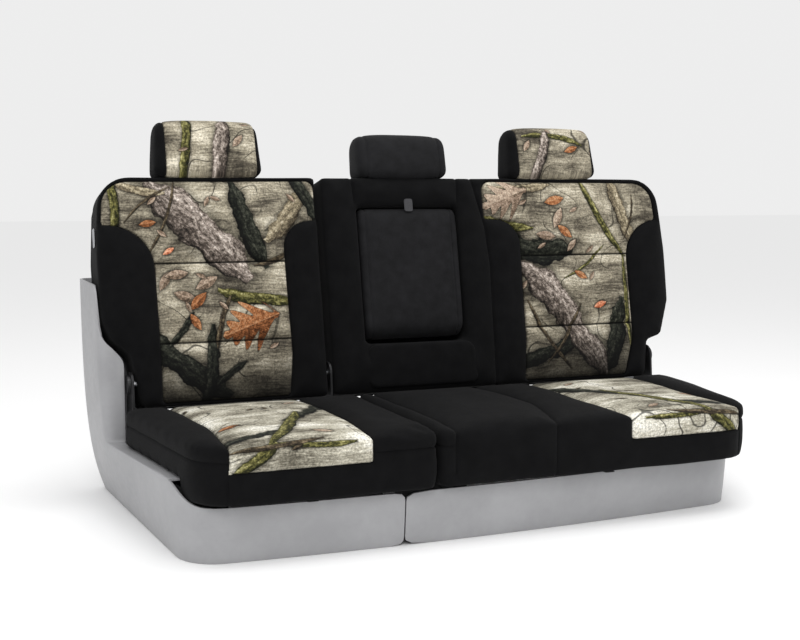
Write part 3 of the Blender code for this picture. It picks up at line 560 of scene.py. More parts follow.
class Camo(Graph):
    """A woodland print: weathered grain, bark, branches and leaves in cloth coordinates."""

    def __init__(self, name, tones, shift=(0.0, 0.0)):
        super().__init__(name, 0.86, specular=0.12, sheen=0.02)
        u, v, _ = self.print_axes()
        self.shift = shift
        self.u = self.add(u, shift[0])
        self.v = self.add(v, shift[1])
        self.flat = self.vector(self.u, self.v)
        self.warp = self.noise(self.flat, 7.0, 3.0)
        self.fine = self.noise(self.flat, 120.0, 5.0, 0.65)
        self.colour = self.grain(tones)

    def grain(self, tones):
        """Weathered boards: soft patches, fine streaks across the seat and stray dark twigs."""
        across = self.add(self.v, self.mul(self.sub(self.warp, 0.5), 0.035))
        wide = self.noise(self.vector(self.mul(self.u, 4.0), self.mul(across, 22.0)), 1.0, 6.0, 0.6)
        thin = self.noise(self.vector(self.mul(self.u, 16.0), self.mul(across, 230.0)), 1.0, 6.0, 0.7)
        patch = self.noise(self.flat, 8.0, 5.0, 0.55)
        share = self.add(self.add(self.mul(wide, 0.35), self.mul(thin, 0.25)), self.mul(patch, 0.4))
        share = self.add(self.mul(self.sub(share, 0.5), GRAIN_CONTRAST), 0.52)
        share = self.math("ADD", share, self.mul(self.sub(self.fine, 0.5), 0.5), clamp=True)
        colour = self.ramp(share, (0.05, tones[0]), (0.33, tones[1]), (0.6, tones[2]),
                           (0.9, tones[3]))
        stray = self.noise(self.flat, 7.0, 1.0, 0.5)
        twigs = self.smooth(self.size(self.sub(stray, 0.5)), 0.002, 0.008, 0.8, 0.0)
        twigs = self.mul(twigs, self.smooth(patch, 0.44, 0.52))
        return self.mix(twigs, colour, CRACK_TONE)

    def local(self, at, angle):
        """Coordinates along and across a line through a point at an angle in degrees."""
        turn = math.radians(angle)
        du = self.sub(self.u, at[0] + self.shift[0])
        dv = self.sub(self.v, at[1] + self.shift[1])
        along = self.add(self.mul(du, math.cos(turn)), self.mul(dv, math.sin(turn)))
        across = self.sub(self.mul(dv, math.cos(turn)), self.mul(du, math.sin(turn)))
        return along, across

    def lay(self, mask, colour):
        self.colour = self.mix(mask, self.colour, colour)

    def shadow(self, distance, spread, strength=0.6):
        """Darkens the print just outside a shape whose distance is negative within it."""
        self.lay(self.smooth(distance, 0.0, spread, strength, 0.0), SHADOW_TONE)

    def limb(self, at, angle, length, width, kind, bow=0.0, rough=0.25):
        """A trunk or a branch with rounded shading and its own bark."""
        along, across = self.local(at, angle)
        share = self.math("DIVIDE", along, length / 2)
        sag = self.mul(self.mul(share, share), bow)
        wobble = self.mul(self.sub(self.warp, 0.5), width * 0.9)
        middle = self.add(self.sub(across, sag), wobble)
        edge_noise = self.noise(self.flat, 0.9 / width, 4.0, 0.6)
        half = self.add(width / 2, self.mul(self.sub(edge_noise, 0.5), width * rough * 2))
        taper = self.smooth(self.size(share), 0.55, 1.0, 1.0, 0.35)
        half = self.mul(half, taper)
        past = self.sub(self.size(middle), half)
        past = self.math("MAXIMUM", past, self.sub(self.size(along), length / 2))
        mask = self.smooth(past, -0.0012, 0.0012, 1.0, 0.0)
        round_share = self.math("DIVIDE", middle, half)
        light = self.add(self.mul(round_share, 0.32), 0.5)
        streaks = self.noise(self.vector(self.mul(along, 26.0), self.mul(middle, 90.0)), 1.0, 6.0, 0.75)
        share = self.add(self.mul(light, 0.5), self.mul(self.sub(streaks, 0.5), 1.5))
        share = self.add(share, self.add(self.mul(self.sub(self.fine, 0.5), 0.9), 0.25))
        share = self.sub(share, self.smooth(self.size(round_share), 0.7, 1.0, 0.0, 0.22))
        bark = self.ramp(share, *zip((0.18, 0.42, 0.62, 0.86), KINDS[kind]))
        self.shadow(past, width * 0.3, 0.5)
        self.lay(mask, bark)

    def leaf(self, at, angle, length, kind, lobes=0):
        """A pointed leaf, or a lobed one, with a midrib."""
        along, across = self.local(at, angle)
        x = self.math("DIVIDE", along, length / 2)
        profile = self.sub(1.0, self.mul(x, x))
        side = self.size(across)
        half = self.mul(profile, length * (0.36 if lobes else 0.2))
        if lobes:
            wave = self.math("SINE", self.mul(self.add(along, self.mul(side, 0.9)),
                                              lobes * math.tau / length))
            half = self.mul(half, self.add(0.78, self.mul(wave, 0.42)))
        ragged = self.mul(self.sub(self.noise(self.flat, 2.2 / length, 3.0), 0.5), length * 0.05)
        past = self.add(self.sub(side, half), ragged)
        past = self.math("MAXIMUM", past, self.sub(self.size(along), length / 2))
        mask = self.smooth(past, -0.0009, 0.0009, 1.0, 0.0)
        veins = self.math("SINE", self.mul(self.sub(along, self.mul(side, 1.1)), 20 * math.tau / length))
        rib = self.smooth(side, 0.0, length * 0.012, 1.0, 0.0)
        share = self.add(self.mul(self.warp, 0.5), self.mul(self.sub(self.fine, 0.5), 0.9))
        share = self.add(share, self.add(self.mul(veins, 0.025), 0.25))
        share = self.add(share, self.mul(self.math("SIGN", across), 0.06))
        skin = self.ramp(share, *zip((0.28, 0.42, 0.54, 0.7), KINDS[kind]))
        skin = self.mix(self.mul(rib, 0.55), skin, KINDS[kind][3])
        self.shadow(past, 0.008, 0.75)
        self.lay(mask, skin)

    def scatter(self, scale, size, kind, amount, seed, narrow=0.36):
        """Small leaves strewn over the print, one to a cell at most."""
        cells = self.tree.nodes.new("ShaderNodeTexVoronoi")
        cells.voronoi_dimensions = "2D"
        cells.inputs["Scale"].default_value = scale
        moved = self.vector(self.add(self.u, seed), self.add(self.v, seed * 0.7))
        self.plug(moved, cells.inputs["Vector"])
        offset = self.node("ShaderNodeVectorMath", properties={"operation": "SUBTRACT"})
        self.plug(moved, offset.node.inputs[0])
        self.plug(cells.outputs["Position"], offset.node.inputs[1])
        picked = self.node("ShaderNodeSeparateColor", Color=cells.outputs["Color"])
        red, green = picked.node.outputs[0], picked.node.outputs[1]
        turned = self.node("ShaderNodeVectorRotate", properties={"rotation_type": "Z_AXIS"},
                           Vector=offset, Angle=self.mul(red, math.tau))
        parts = self.tree.nodes.new("ShaderNodeSeparateXYZ")
        self.plug(turned, parts.inputs[0])
        along, across = parts.outputs[0], parts.outputs[1]
        x = self.math("DIVIDE", along, size)
        half = self.mul(self.sub(1.0, self.mul(x, x)), size * narrow)
        past = self.sub(self.size(across), half)
        past = self.math("MAXIMUM", past, self.sub(self.size(along), size))
        chosen = self.smooth(green, 1 - amount, 1 - amount + 0.01)
        mask = self.mul(self.smooth(past, -0.0008, 0.0008, 1.0, 0.0), chosen)
        shade = self.mul(self.smooth(past, 0.0, 0.006, 0.65, 0.0), chosen)
        self.lay(shade, SHADOW_TONE)
        share = self.add(self.mul(self.fine, 0.6), self.mul(self.warp, 0.35))
        share = self.add(share, self.mul(self.math("SIGN", across), 0.07))
        skin = self.ramp(share, *zip((0.3, 0.42, 0.54, 0.7), KINDS[kind]))
        self.lay(mask, skin)

    def draw(self, limbs, leaves):
        for limb in limbs:
            self.limb(*limb)
        for leaf in leaves:
            self.leaf(*leaf)

    def paint_crease_shade(self, height):
        """Painted shade: a dark line where a row of quilting pulls the cloth in."""
        distance = self.size(self.sub(self.v, height + self.shift[1]))
        self.lay(self.smooth(distance, 0.0010, 0.0034, 0.92, 0.0), linear(10, 10, 9))

    def finish(self, fold_shade=None):
        speck = self.noise(self.flat, 210.0, 6.0, 0.75)
        tone = self.smooth(speck, 0.30, 0.70, 0.45, 1.45)
        grey = self.node("ShaderNodeCombineColor", Red=tone, Green=tone, Blue=tone)
        self.colour = self.mix(1.0, self.colour, grey, "MULTIPLY")
        # painted shade towards the fold between backrest and cushion
        if fold_shade is not None:
            self.colour = self.mix(fold_shade, self.colour, FOLD_SHADE_TONE)
        point = self.object_point()
        height = knit_height(self, point, 0.0013)
        rough = self.smooth(self.fine, 0.3, 0.7, 0.78, 0.92)
        return self.done(self.colour, rough, self.bump(height, 0.3, 0.0006))


KINDS = {
    "bark": (linear(26, 23, 20), linear(84, 75, 68), linear(156, 144, 134), linear(232, 221, 210)),
    "pale": (linear(44, 38, 30), linear(104, 94, 76), linear(160, 148, 122), linear(208, 198, 176)),
    "green": (linear(14, 15, 9), linear(50, 50, 26), linear(112, 108, 62), linear(190, 184, 132)),
    "dark": (linear(8, 8, 7), linear(20, 22, 18), linear(48, 50, 42), linear(96, 96, 84)),
    "twig": (linear(20, 17, 13), linear(48, 41, 32), linear(88, 77, 60), linear(136, 122, 98)),
    "tan": (linear(66, 54, 42), linear(118, 100, 84), linear(156, 136, 118), linear(190, 172, 152)),
    "orange": (linear(62, 36, 20), linear(118, 72, 42), linear(160, 104, 66), linear(190, 146, 108)),
    "red": (linear(92, 44, 28), linear(160, 84, 54), linear(206, 128, 92), linear(232, 178, 146)),
}
BACK_TONES = (linear(26, 24, 21), linear(86, 80, 69), linear(156, 148, 129), linear(222, 214, 194))
SEAT_TONES = (linear(42, 40, 34), linear(112, 107, 94), linear(186, 181, 164), linear(240, 237, 226))


# ---- materials of the set ----
BLACK = fabric("black_knit", linear(5, 5, 6), linear(14, 14, 15))
CHARCOAL = fabric("charcoal_knit", linear(18, 18, 19), linear(30, 30, 32), 0.75, 0.02, mottle=34.0)
GREY = moulded("grey_moulding", linear(146, 146, 148), linear(157, 157, 159))
BLACK_PLASTIC = moulded("black_moulding", linear(20, 20, 21), linear(34, 34, 36), 0.4, 900.0)
BLACK_STEEL = metal("black_coat", linear(20, 20, 21), linear(36, 36, 38), 0.5, 0.4, (1, 1, 1))
BRIGHT_STEEL = metal("drawn_steel", linear(176, 178, 182), linear(214, 216, 220), 0.25, 1.0,
                     (1, 1, 0.05))
WEBBING = woven("black_webbing", linear(16, 16, 17), linear(44, 44, 46))
FLAP = woven("flap_weave", linear(18, 18, 19), linear(38, 38, 40), 0.0011)
TAB = woven("tab_weave", linear(34, 34, 36), linear(66, 66, 69))
TAG = woven("tag_weave", linear(130, 131, 134), linear(176, 177, 180), 0.0012)


def assign(obj, material):
    obj.data.materials.clear()
    obj.data.materials.append(material)


def carry(node, material):
    """Gives a CAD node that stays its better material."""
    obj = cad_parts[node]
    for place in obj.material_slots:
        place.material = material


def place(piece, body, slot_name, material, *nodes, padded=None):
    assign(piece, material)
    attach(piece, body)
    if nodes:
        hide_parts(*nodes)
    return piece


# ---- backrests ----
BACK_INNER = {"left": 0.225, "right": -0.215}    # seam edge of each backrest, times its side


def back_outline(side, inner):
    outer = HALF_WIDTH[side]
    if side < 0:
        waist = [(0.705, up(0.362), 0.03), (0.745, up(0.395), 0.03)]
    else:
        waist = [(0.702, up(0.333), 0.01), (0.748, up(0.346), 0.02)]
    corners = [(inner, up(BACK_LOW_Z), 0.015), (0.684, up(BACK_LOW_Z), 0.02), *waist,
               (outer - 0.002, up(0.44), 0.04), (outer + 0.002, up(0.58), 0.3),
               (outer - 0.010, COVER_TOP, 0.08), (inner, COVER_TOP, 0.012)]
    return corners if side > 0 else mirrored(corners)


CAMO_SIDES = {-1: (0.313, 0.633, 0.325, 0.635), 1: (0.328, 0.654, 0.316, 0.620)}


def camo_outline(side):
    inner, outer, inner_low, outer_low = CAMO_SIDES[side]
    low = up(0.246)
    corners = [(inner_low, low, 0.01), (outer_low, low, 0.01), (outer, 0.05, 0.10),
               (outer + 0.003, 0.366, 0.108), (0.757, 0.371, 0.008), (0.750, 0.474, 0.060),
               (0.231, 0.478, 0.025), (0.231, 0.378, 0.005), (inner + 0.006, 0.373, 0.068),
               (inner, 0.05, 0.10)]
    return corners if side > 0 else mirrored(corners)


RECESS = (ARM_X[0] - 0.0045, ARM_X[1] + 0.0045, ARM_V - 0.0505, up(ARM_TOP_Z) + 0.0045)


def on_front(field):
    """Keeps a seam to the front of a backrest."""
    return lambda p: np.where(p[:, 2] > 0.006, field(p), -FAR)


def line_seam(line, depth=0.0032, half=0.0034):
    return Seam(on_front(lambda p: side_of(p[:, :2], line)), depth, half)


def build_back(name, side):
    inner = BACK_INNER[name]
    right = name == "right"
    corners = back_outline(side, inner)
    outline = rounded(corners)
    form = slab(rounded(inset(corners, 0.003)), BACK_REAR + 0.0040, BACK_FRONT - 0.005, 0.024, 0.004)
    x0, x1, v0, v1 = RECESS
    cutters = [slab(rounded(block(x0, x1, v0, v1, 0.012)), ARM_W - 0.0445, 0.12, 0, 0)] if right else []
    mesh = remeshed(form, 0.0075, cutters)
    panel = rounded(camo_outline(side))
    camo = on_front(lambda p: inside_of(p[:, :2], panel))
    seams = [Seam(camo, 0.004, 0.0036)]
    for z in QUILT_Z:
        seams.append(Seam(lambda p, v=up(z): np.where(camo(p) > 0.002, p[:, 1] - v, FAR),
                          0.0060, 0.0036))
    if right:
        top, low = BACK_TOP + 0.01, up(BACK_LOW_Z) - 0.01
        seams.append(line_seam([(0.199, top), (0.231, up(0.646)), (0.239, up(0.548)), (0.230, low)]))
        seams.append(line_seam([(-0.132, top), (-0.127, v1 + 0.006)]))
        seams.append(line_seam([(0.160, top), (0.157, v1 + 0.006)]))

    def rims(p):
        gap = np.maximum(inside_of(p[:, :2], outline) - 0.003, 0)
        if right:
            ring = [(x0, v0), (x1, v0), (x1, v1), (x0, v1)]
            gap = np.minimum(gap, np.maximum(-inside_of(p[:, :2], ring), 0))
        return gap

    def puff(p, gap):
        near = np.minimum(np.minimum(gap, rims(p)), 0.2)
        is_camo = ramp(camo(p), -0.004, 0.004)
        tall = 0.0125 - 0.0025 * is_camo
        front = ramp(p[:, 2], -0.004, 0.020)
        return front * (tall * (1 - np.exp(-near / 0.020)) + lumps(p, 9.0, 0.0012, side * 3.0))

    points = coords(mesh)
    gap = seam_gap(points, seams)
    held = 1 - ramp(np.minimum(gap, rims(points)), 0.004, 0.012)
    pinned = np.maximum(1 - ramp(points[:, 2], 0.0, 0.016), held)
    moved = settle(mesh, pinned, 3.0, 0.006)
    made = dress(mesh, seams, puff, moved, [("back_insert_" + name + "_cloth", camo),
                                            ("back_cover_" + name + "_cloth", None)], BACK_FRAME)
    body = name + "_back"
    place(made[0], body, "camo_fabric", BACK_PRINTS[name], "back_insert_" + name, padded=0.6)
    place(made[1], body, "black_fabric", BLACK, "back_cover_" + name, "back_foam_" + name, padded=0.7)
    return made


# ---- cushions ----
CUSHION_INNER = {"left": 0.1625, "right": -0.1595}   # the covers meet over the gap in the foams
CUSHION_END_Y = CUSHION_REAR_Y + 0.008
CUSHION_FRONT_HALF = {-1: 0.668, 1: 0.642}


def cushion_corners(side, inner):
    corners = [(inner, FRONT_Y, 0.02), (CUSHION_FRONT_HALF[side], FRONT_Y, 0.11), (0.706, -0.10, 0.25),
               (0.732, CUSHION_END_Y, 0.03), (inner, CUSHION_END_Y, 0.012)]
    return corners if side > 0 else mirrored(corners)


def cushion_panel(side):
    corners = [(0.312, FRONT_Y - 0.05, 0), (0.613, FRONT_Y - 0.05, 0), (0.598, -0.20, 0.6),
               (0.632, 0.15, 0), (0.318, 0.15, 0), (0.300, -0.20, 0.6)]
    return corners if side > 0 else mirrored(corners)


STEP_Y = {-1: -0.278, 1: -0.181}


def build_cushion(name, side):
    corners = cushion_corners(side, CUSHION_INNER[name])
    outline = rounded(corners)
    form = slab(rounded(inset(corners, 0.003)), CUSHION_LOW + 0.0025, CUSHION_TOP - 0.005, 0.030, 0.006)
    start = STEP_Y[side]
    step = [(side * x, y, 0.02) for x, y in ((0.640, start), (0.80, start), (0.80, 0.30), (0.700, 0.30),
                                             (0.650, start + 0.086))]
    if side < 0:
        step.reverse()
    mesh = remeshed(form, 0.0075, [slab(rounded(step), 0.05, SIDE_HEM, 0, 0)])
    panel = rounded(cushion_panel(side))

    def camo(p):
        plan = inside_of(p[:, :2], panel)
        return np.where(p[:, 2] > 0.15, np.minimum(plan, p[:, 2] - CAMO_BAND_Z), -FAR)

    def band(p):
        plan = inside_of(p[:, :2], panel)
        ends = (p[:, 0] < SEAT_LINES[0][-1][0]) | (p[:, 0] > 0.60)
        return np.where((plan < -0.001) & (p[:, 2] > 0.19) & ends, p[:, 2] - 0.213, FAR)

    def upright(x):
        return lambda p: np.where((p[:, 2] < 0.212) & (p[:, 1] < FRONT_Y + 0.06), p[:, 0] - x, FAR)

    seams = [Seam(camo, 0.0038, 0.0034), Seam(band, 0.0026, 0.0030),
             Seam(upright(side * 0.6115), 0.0026, 0.0030)]
    if side > 0:
        for line in SEAT_LINES:
            low = 0.150 if line[0][0] < 0 else 0.126
            seams.append(Seam(lambda p, line=line, low=low: np.where(
                p[:, 2] > low, side_of(p[:, :2], line), FAR), 0.0028, 0.0030))

    def puff(p, gap):
        rim = np.maximum(inside_of(p[:, :2], outline) - 0.003, 0)
        near = np.minimum(np.minimum(gap, 0.2), rim + 0.008)
        is_camo = ramp(camo(p), -0.004, 0.004)
        top = ramp(p[:, 2], 0.195, 0.232)
        tall = 0.010 - 0.003 * is_camo
        wall = (1 - top) * ramp(p[:, 2], CUSHION_LOW + 0.004, 0.16) * 0.0035
        crown = 0.004 * ramp(rim, 0.0, 0.16) * top
        return (top * tall * (1 - np.exp(-near / 0.022)) + crown + wall * (1 - np.exp(-gap / 0.02))
                + lumps(p, 8.0, 0.0013, side * 5.0))

    points = coords(mesh)
    gap = seam_gap(points, seams)
    pinned = np.maximum(1 - ramp(points[:, 2], 0.135, 0.19), 1 - ramp(gap, 0.004, 0.012))
    pinned = np.maximum(pinned, ramp(points[:, 1], CUSHION_REAR_Y - 0.02, CUSHION_REAR_Y - 0.006))
    moved = settle(mesh, pinned, 3.0, 0.006)

    def print_at(p):
        return np.column_stack([p[:, 0], p[:, 1] - (CUSHION_TOP - p[:, 2]), p[:, 2]])

    made = dress(mesh, seams, puff, moved, [("cushion_insert_" + name + "_cloth", camo),
                                            ("cushion_cover_" + name + "_cloth", None)], None, print_at)
    place(made[0], "base", "camo_fabric", SEAT_PRINTS[name], "cushion_insert_" + name, padded=0.7)
    place(made[1], "base", "black_fabric", BLACK, "cushion_cover_" + name, "cushion_foam_" + name,
          padded=0.8)
    return made


SEAT_LINES = (((-0.122, CUSHION_REAR_Y), (-0.114, -0.15), (-0.114, -0.28), (-0.124, -0.42)),
              ((0.156, CUSHION_REAR_Y), (0.171, -0.10), (0.171, -0.20), (0.137, -0.336), (0.115, -0.42)))


# ---- armrest and the pad below it ----
def across(x, v, w):
    """(forward, up, across) about a point in the backrest's frame, to the world."""
    turn = Matrix(((0, 0, -1, 0), (0, 1, 0, 0), (1, 0, 0, 0), (0, 0, 0, 1)))
    return BACK_FRAME @ Matrix.Translation((x, v, w)) @ turn


def build_armrest():
    half = (ARM_X[1] - ARM_X[0]) / 2
    top = up(ARM_TOP_Z) - ARM_V
    r = ARM_RADIUS - 0.0015
    corners = [(-r, -r, r * 0.99), (r, -r, r * 0.99), (r, top, 0.020), (-r, top, 0.020)]
    mesh = remeshed(slab(rounded(corners, 12), -half + 0.001, half - 0.001, 0.014, 0.014), 0.006)
    seams = [Seam(lambda p: half - 0.017 - np.abs(p[:, 2]), 0.0026, 0.0030)]

    def puff(p, gap):
        near = np.minimum(gap, 0.1)
        ends = np.maximum(np.minimum(top - p[:, 1], p[:, 1] + r), 0)
        front = ramp(p[:, 0], 0.005, 0.034)
        crown = (1 - np.exp(-near / 0.03)) * (1 - np.exp(-ends / 0.03))
        return front * 0.0065 * crown + lumps(p, 12.0, 0.0007, 11.0)

    points = coords(mesh)
    gap = seam_gap(points, seams)
    pinned = np.maximum(1 - ramp(points[:, 0], 0.0, 0.02), 1 - ramp(gap, 0.004, 0.01))
    moved = settle(mesh, pinned, 2.0, 0.003)
    made = dress(mesh, seams, puff, moved, [("armrest_cloth", None)],
                 across((ARM_X[0] + ARM_X[1]) / 2, ARM_V, ARM_W), turn_in=0)
    place(made[0], "armrest", "charcoal_fabric", CHARCOAL, "armrest_cover", "armrest_foam", padded=0.7)


def build_lower_pad():
    corners = [(-0.126, up(0.250), 0.02), (0.176, up(0.250), 0.02), (0.172, up(0.3585), 0.03),
               (-0.124, up(0.3585), 0.03)]
    low = BACK_FRONT - 0.001
    mesh = remeshed(slab(rounded(inset(corners, 0.001)), low, low + 0.009, 0.006, 0), 0.0032)
    outline = rounded(corners)

    def puff(p, gap):
        rim = np.maximum(inside_of(p[:, :2], outline), 0)
        return ramp(p[:, 2], low + 0.002, low + 0.008) * 0.0045 * (1 - np.exp(-rim / 0.02))

    made = dress(mesh, [], puff, np.zeros((1, 3)), [("lower_pad_cloth", None)], BACK_FRAME, turn_in=0)
    place(made[0], "right_back", "black_fabric", BLACK, "lower_pad", padded=0.5)


# ---- headrests ----
def build_headrest(name):
    half = HEADREST_WIDTH[name] / 2
    low, top = 0.005, up(HEADREST_TOP_Z[name]) - BACK_TOP
    corners = [(-0.059, low, 0.022), (0.041, low, 0.022), (0.035, top - 0.001, 0.040),
               (-0.047, top - 0.001, 0.040)]
    form = slab(rounded(inset(corners, 0.002), 10), -half + 0.002, half - 0.002, 0.024, 0.024)
    mesh = remeshed(form, 0.0055)
    centre = name == "centre"
    if not centre:
        shape = coords(mesh)
        shape[:, 2] *= 1.02 - 0.07 * np.clip((shape[:, 1] - low) / (top - low), 0, 1)
        mesh.vertices.foreach_set("co", shape.ravel())
    strip = (half - 0.024, half - 0.024) if centre else (half - 0.026, half - 0.013)
    seams = [Seam(lambda p: np.minimum(strip[0] - p[:, 2], strip[1] + p[:, 2]), 0.0026, 0.0028)]

    def puff(p, gap):
        near = np.minimum(gap, 0.1)
        share = np.clip(np.abs(p[:, 2]) / half, 0, 1)
        crown = 0.0035 * (1 - share ** 2)
        return crown + 0.0025 * (1 - np.exp(-near / 0.014)) + lumps(p, 14.0, 0.0008, half * 40)

    points = coords(mesh)
    gap = seam_gap(points, seams)
    low_part = 1 - ramp(points[:, 1], low + 0.006, low + 0.03)
    moved = settle(mesh, np.maximum(low_part, 1 - ramp(gap, 0.003, 0.01)), 2.0, 0.003)

    def print_at(p):
        return np.column_stack([-p[:, 2], p[:, 1] - p[:, 0], p[:, 2]])

    place_at = across(HEADREST_X[name] - (0 if centre else 0.004), BACK_TOP, 0)
    body = "headrest_" + name
    covers = ("headrest_cover_" + name, "headrest_foam_" + name)
    if centre:
        made = dress(mesh, seams, puff, moved, [("headrest_cover_centre_cloth", None)], place_at,
                     print_at, 0)
        place(made[0], body, "charcoal_fabric", CHARCOAL, *covers, padded=0.8)
    else:
        made = dress(mesh, seams, puff, moved,
                     [("headrest_strip_" + name + "_cloth", seams[0].field),
                      ("headrest_ends_" + name + "_cloth", None)], place_at, print_at)
        place(made[0], body, "camo_fabric", HEAD_PRINTS[name], *covers, padded=0.8)
        place(made[1], body, "black_fabric", BLACK, padded=0.8)


# ---- moulded skirts ----
SKIRT_FRONT_Y = FRONT_Y + 0.065
SKIRT_FRONT_HALF = {-1: 0.69, 1: 0.655}
SKIRT_WAIST = {-1: (-0.02, 0.7065), 1: (-0.02, 0.706)}
SKIRT_REAR_HALF = 0.733
SKIRT_STEP_Y = {-1: (-0.345, -0.270), 1: (-0.170, -0.100)}
SKIRT_FRONT_TOP, SKIRT_SIDE_TOP, UPRIGHT_Y = 0.1155, 0.162, 0.168
UPRIGHT_TOP = {-1: 0.53, 1: 0.215}
SKIRT_BULGE, BULGE_HEIGHT, SKIRT_WALL = 0.048, 0.12, 0.005
BASE_SEAM_X = -0.226


def ramp1(value, start, end):
    share = min(max((value - start) / (end - start), 0), 1)
    return share * share * (3 - 2 * share)


def between(value, stations):
    for (p0, n0), (p1, n1) in zip(stations, stations[1:]):
        if value <= p1:
            return n0 + (n1 - n0) * max(value - p0, 0) / (p1 - p0)
    return stations[-1][1]


def skirt_path(side, seam_x):
    corner, rear_corner = 0.09, 0.03
    front_half = SKIRT_FRONT_HALF[side]
    corner_x = side * (front_half - corner)

    def front_y(x):
        return SKIRT_FRONT_Y + 0.002 - 0.025 * (1 - ((x + 0.15) / 0.6) ** 2)

    points = [(seam_x + (corner_x - seam_x) * k / 8, 0) for k in range(9)]
    points = [(x, front_y(x)) for x, _ in points]
    centre_y = front_y(corner_x) + corner
    for k in range(1, 9):
        angle = math.pi / 2 * k / 8
        points.append((corner_x + side * corner * math.sin(angle), centre_y - corner * math.cos(angle)))
    side_end = REAR_Y - rear_corner
    for y in (-0.22, -0.17, -0.135, -0.10, -0.06, -0.02, 0.02, 0.06, 0.09, 0.12, 0.145, UPRIGHT_Y,
              0.19, 0.23, 0.27, 0.31, 0.35, side_end):
        half = between(y, ((centre_y, front_half), SKIRT_WAIST[side], (side_end, SKIRT_REAR_HALF)))
        points.append((side * half, y))
    for k in range(1, 7):
        angle = math.pi / 2 * k / 6
        points.append((side * (SKIRT_REAR_HALF - rear_corner * (1 - math.cos(angle))),
                       side_end + rear_corner * math.sin(angle)))
    points += [(side * 0.66, REAR_Y), (side * 0.60, REAR_Y)]
    return points


def skirt_point(side, x, y, z):
    share = between(y, ((-0.30, 0.35), (0.12, 1.25), (0.22, 1.25), (REAR_Y, 1.0)))
    lean = SKIRT_BULGE * (1 - math.exp(-z / BULGE_HEIGHT))
    corner_x = SKIRT_FRONT_HALF[side] - 0.09
    if abs(x) < corner_x and y < 0:
        return Vector((x, y - 0.35 * lean, z))
    turn = ramp1(abs(x), corner_x - 0.01, SKIRT_FRONT_HALF[side]) if y < 0 else 1.0
    inward = 1.0 if y < REAR_Y - 0.0001 else ramp1(abs(x), 0.60, SKIRT_REAR_HALF - 0.03)
    return Vector((x + side * share * lean * turn * inward, y - 0.35 * lean * (1 - turn), z))


def build_skirt(name, side, seam_x):
    form = bmesh.new()
    points = skirt_path(side, seam_x)
    first_ledge = min(i for i, (x, y) in enumerate(points) if y >= SKIRT_STEP_Y[side][1] - 0.0001)
    corner = min(i for i, (x, y) in enumerate(points) if y >= UPRIGHT_Y - 0.0001)

    def grid(columns):
        for left, right in zip(columns, columns[1:]):
            for a, b, c, d in zip(left, right, right[1:], left[1:]):
                form.faces.new((a, b, c, d))

    rows = 6
    lower = []
    for x, y in points:
        top = SKIRT_FRONT_TOP + (SKIRT_SIDE_TOP - SKIRT_FRONT_TOP) * ramp1(y, *SKIRT_STEP_Y[side])
        lower.append([form.verts.new(skirt_point(side, x, y, top * k / rows)) for k in range(rows + 1)])
    high = 12
    rises = [(UPRIGHT_TOP[side] - SKIRT_SIDE_TOP) * k / high for k in range(1, high + 1)]
    upper = [[lower[i][-1]] + [form.verts.new(skirt_point(side, *points[i], SKIRT_SIDE_TOP + rise))
                               for rise in rises] for i in range(corner, len(points))]
    edge = abs(upper[0][0].co.x)
    wing = [upper[0]]
    for y, half, top in ((0.157, edge - 0.002, 0.420), (0.151, edge - 0.013, 0.397),
                         (0.150, 0.742, 0.388), (0.150, 0.730, 0.372), (0.150, 0.7175, 0.352)):
        top = min(top, UPRIGHT_TOP[side])
        column = []
        for k in range(high + 1):
            z = SKIRT_SIDE_TOP + (top - SKIRT_SIDE_TOP) * k / high
            lean = skirt_point(side, *points[corner], z).x * side - edge
            share = (half - 0.7175) / (edge - 0.7175)
            column.append(form.verts.new((side * (half + lean * share), y, z)))
        wing.append(column)
    ledge = []
    for i in range(first_ledge, corner):
        wall = lower[i][-1].co
        inner = min(between(wall.y, ((-0.30, 0.668), (-0.10, 0.706), (CUSHION_REAR_Y, 0.732))) - 0.012,
                    abs(wall.x) - 0.012)
        half = abs(wall.x)
        ledge.append([lower[i][-1]] + [form.verts.new((side * (half + (inner - half) * k / 5),
                                                       wall.y, wall.z)) for k in range(1, 6)])
    ledge.append([column[0] for column in wing])
    for columns in (lower, upper, wing, ledge):
        grid(columns)
    bmesh.ops.recalc_face_normals(form, faces=form.faces)
    if sum(f.normal.x * side * f.calc_area() for f in form.faces) < 0:
        bmesh.ops.reverse_faces(form, faces=form.faces)
    shell = to_object("shell", form)
    smooth = shell.modifiers.new("smooth", "SUBSURF")
    smooth.levels = smooth.render_levels = 1
    wall = shell.modifiers.new("wall", "SOLIDIFY")
    wall.thickness = SKIRT_WALL
    wall.offset = -1
    wall.use_even_offset = True
    rim = shell.modifiers.new("rim", "BEVEL")
    rim.width = 0.0016
    rim.segments = 3
    rim.limit_method = "ANGLE"
    rim.angle_limit = math.radians(50)
    mesh = evaluated_mesh(shell)
    bpy.data.objects.remove(shell)
    mesh.shade_smooth()
    piece = bpy.data.objects.new(name + "_moulding", mesh)
    PIECES.objects.link(piece)
    place(piece, "base", "grey_plastic", GREY, name)


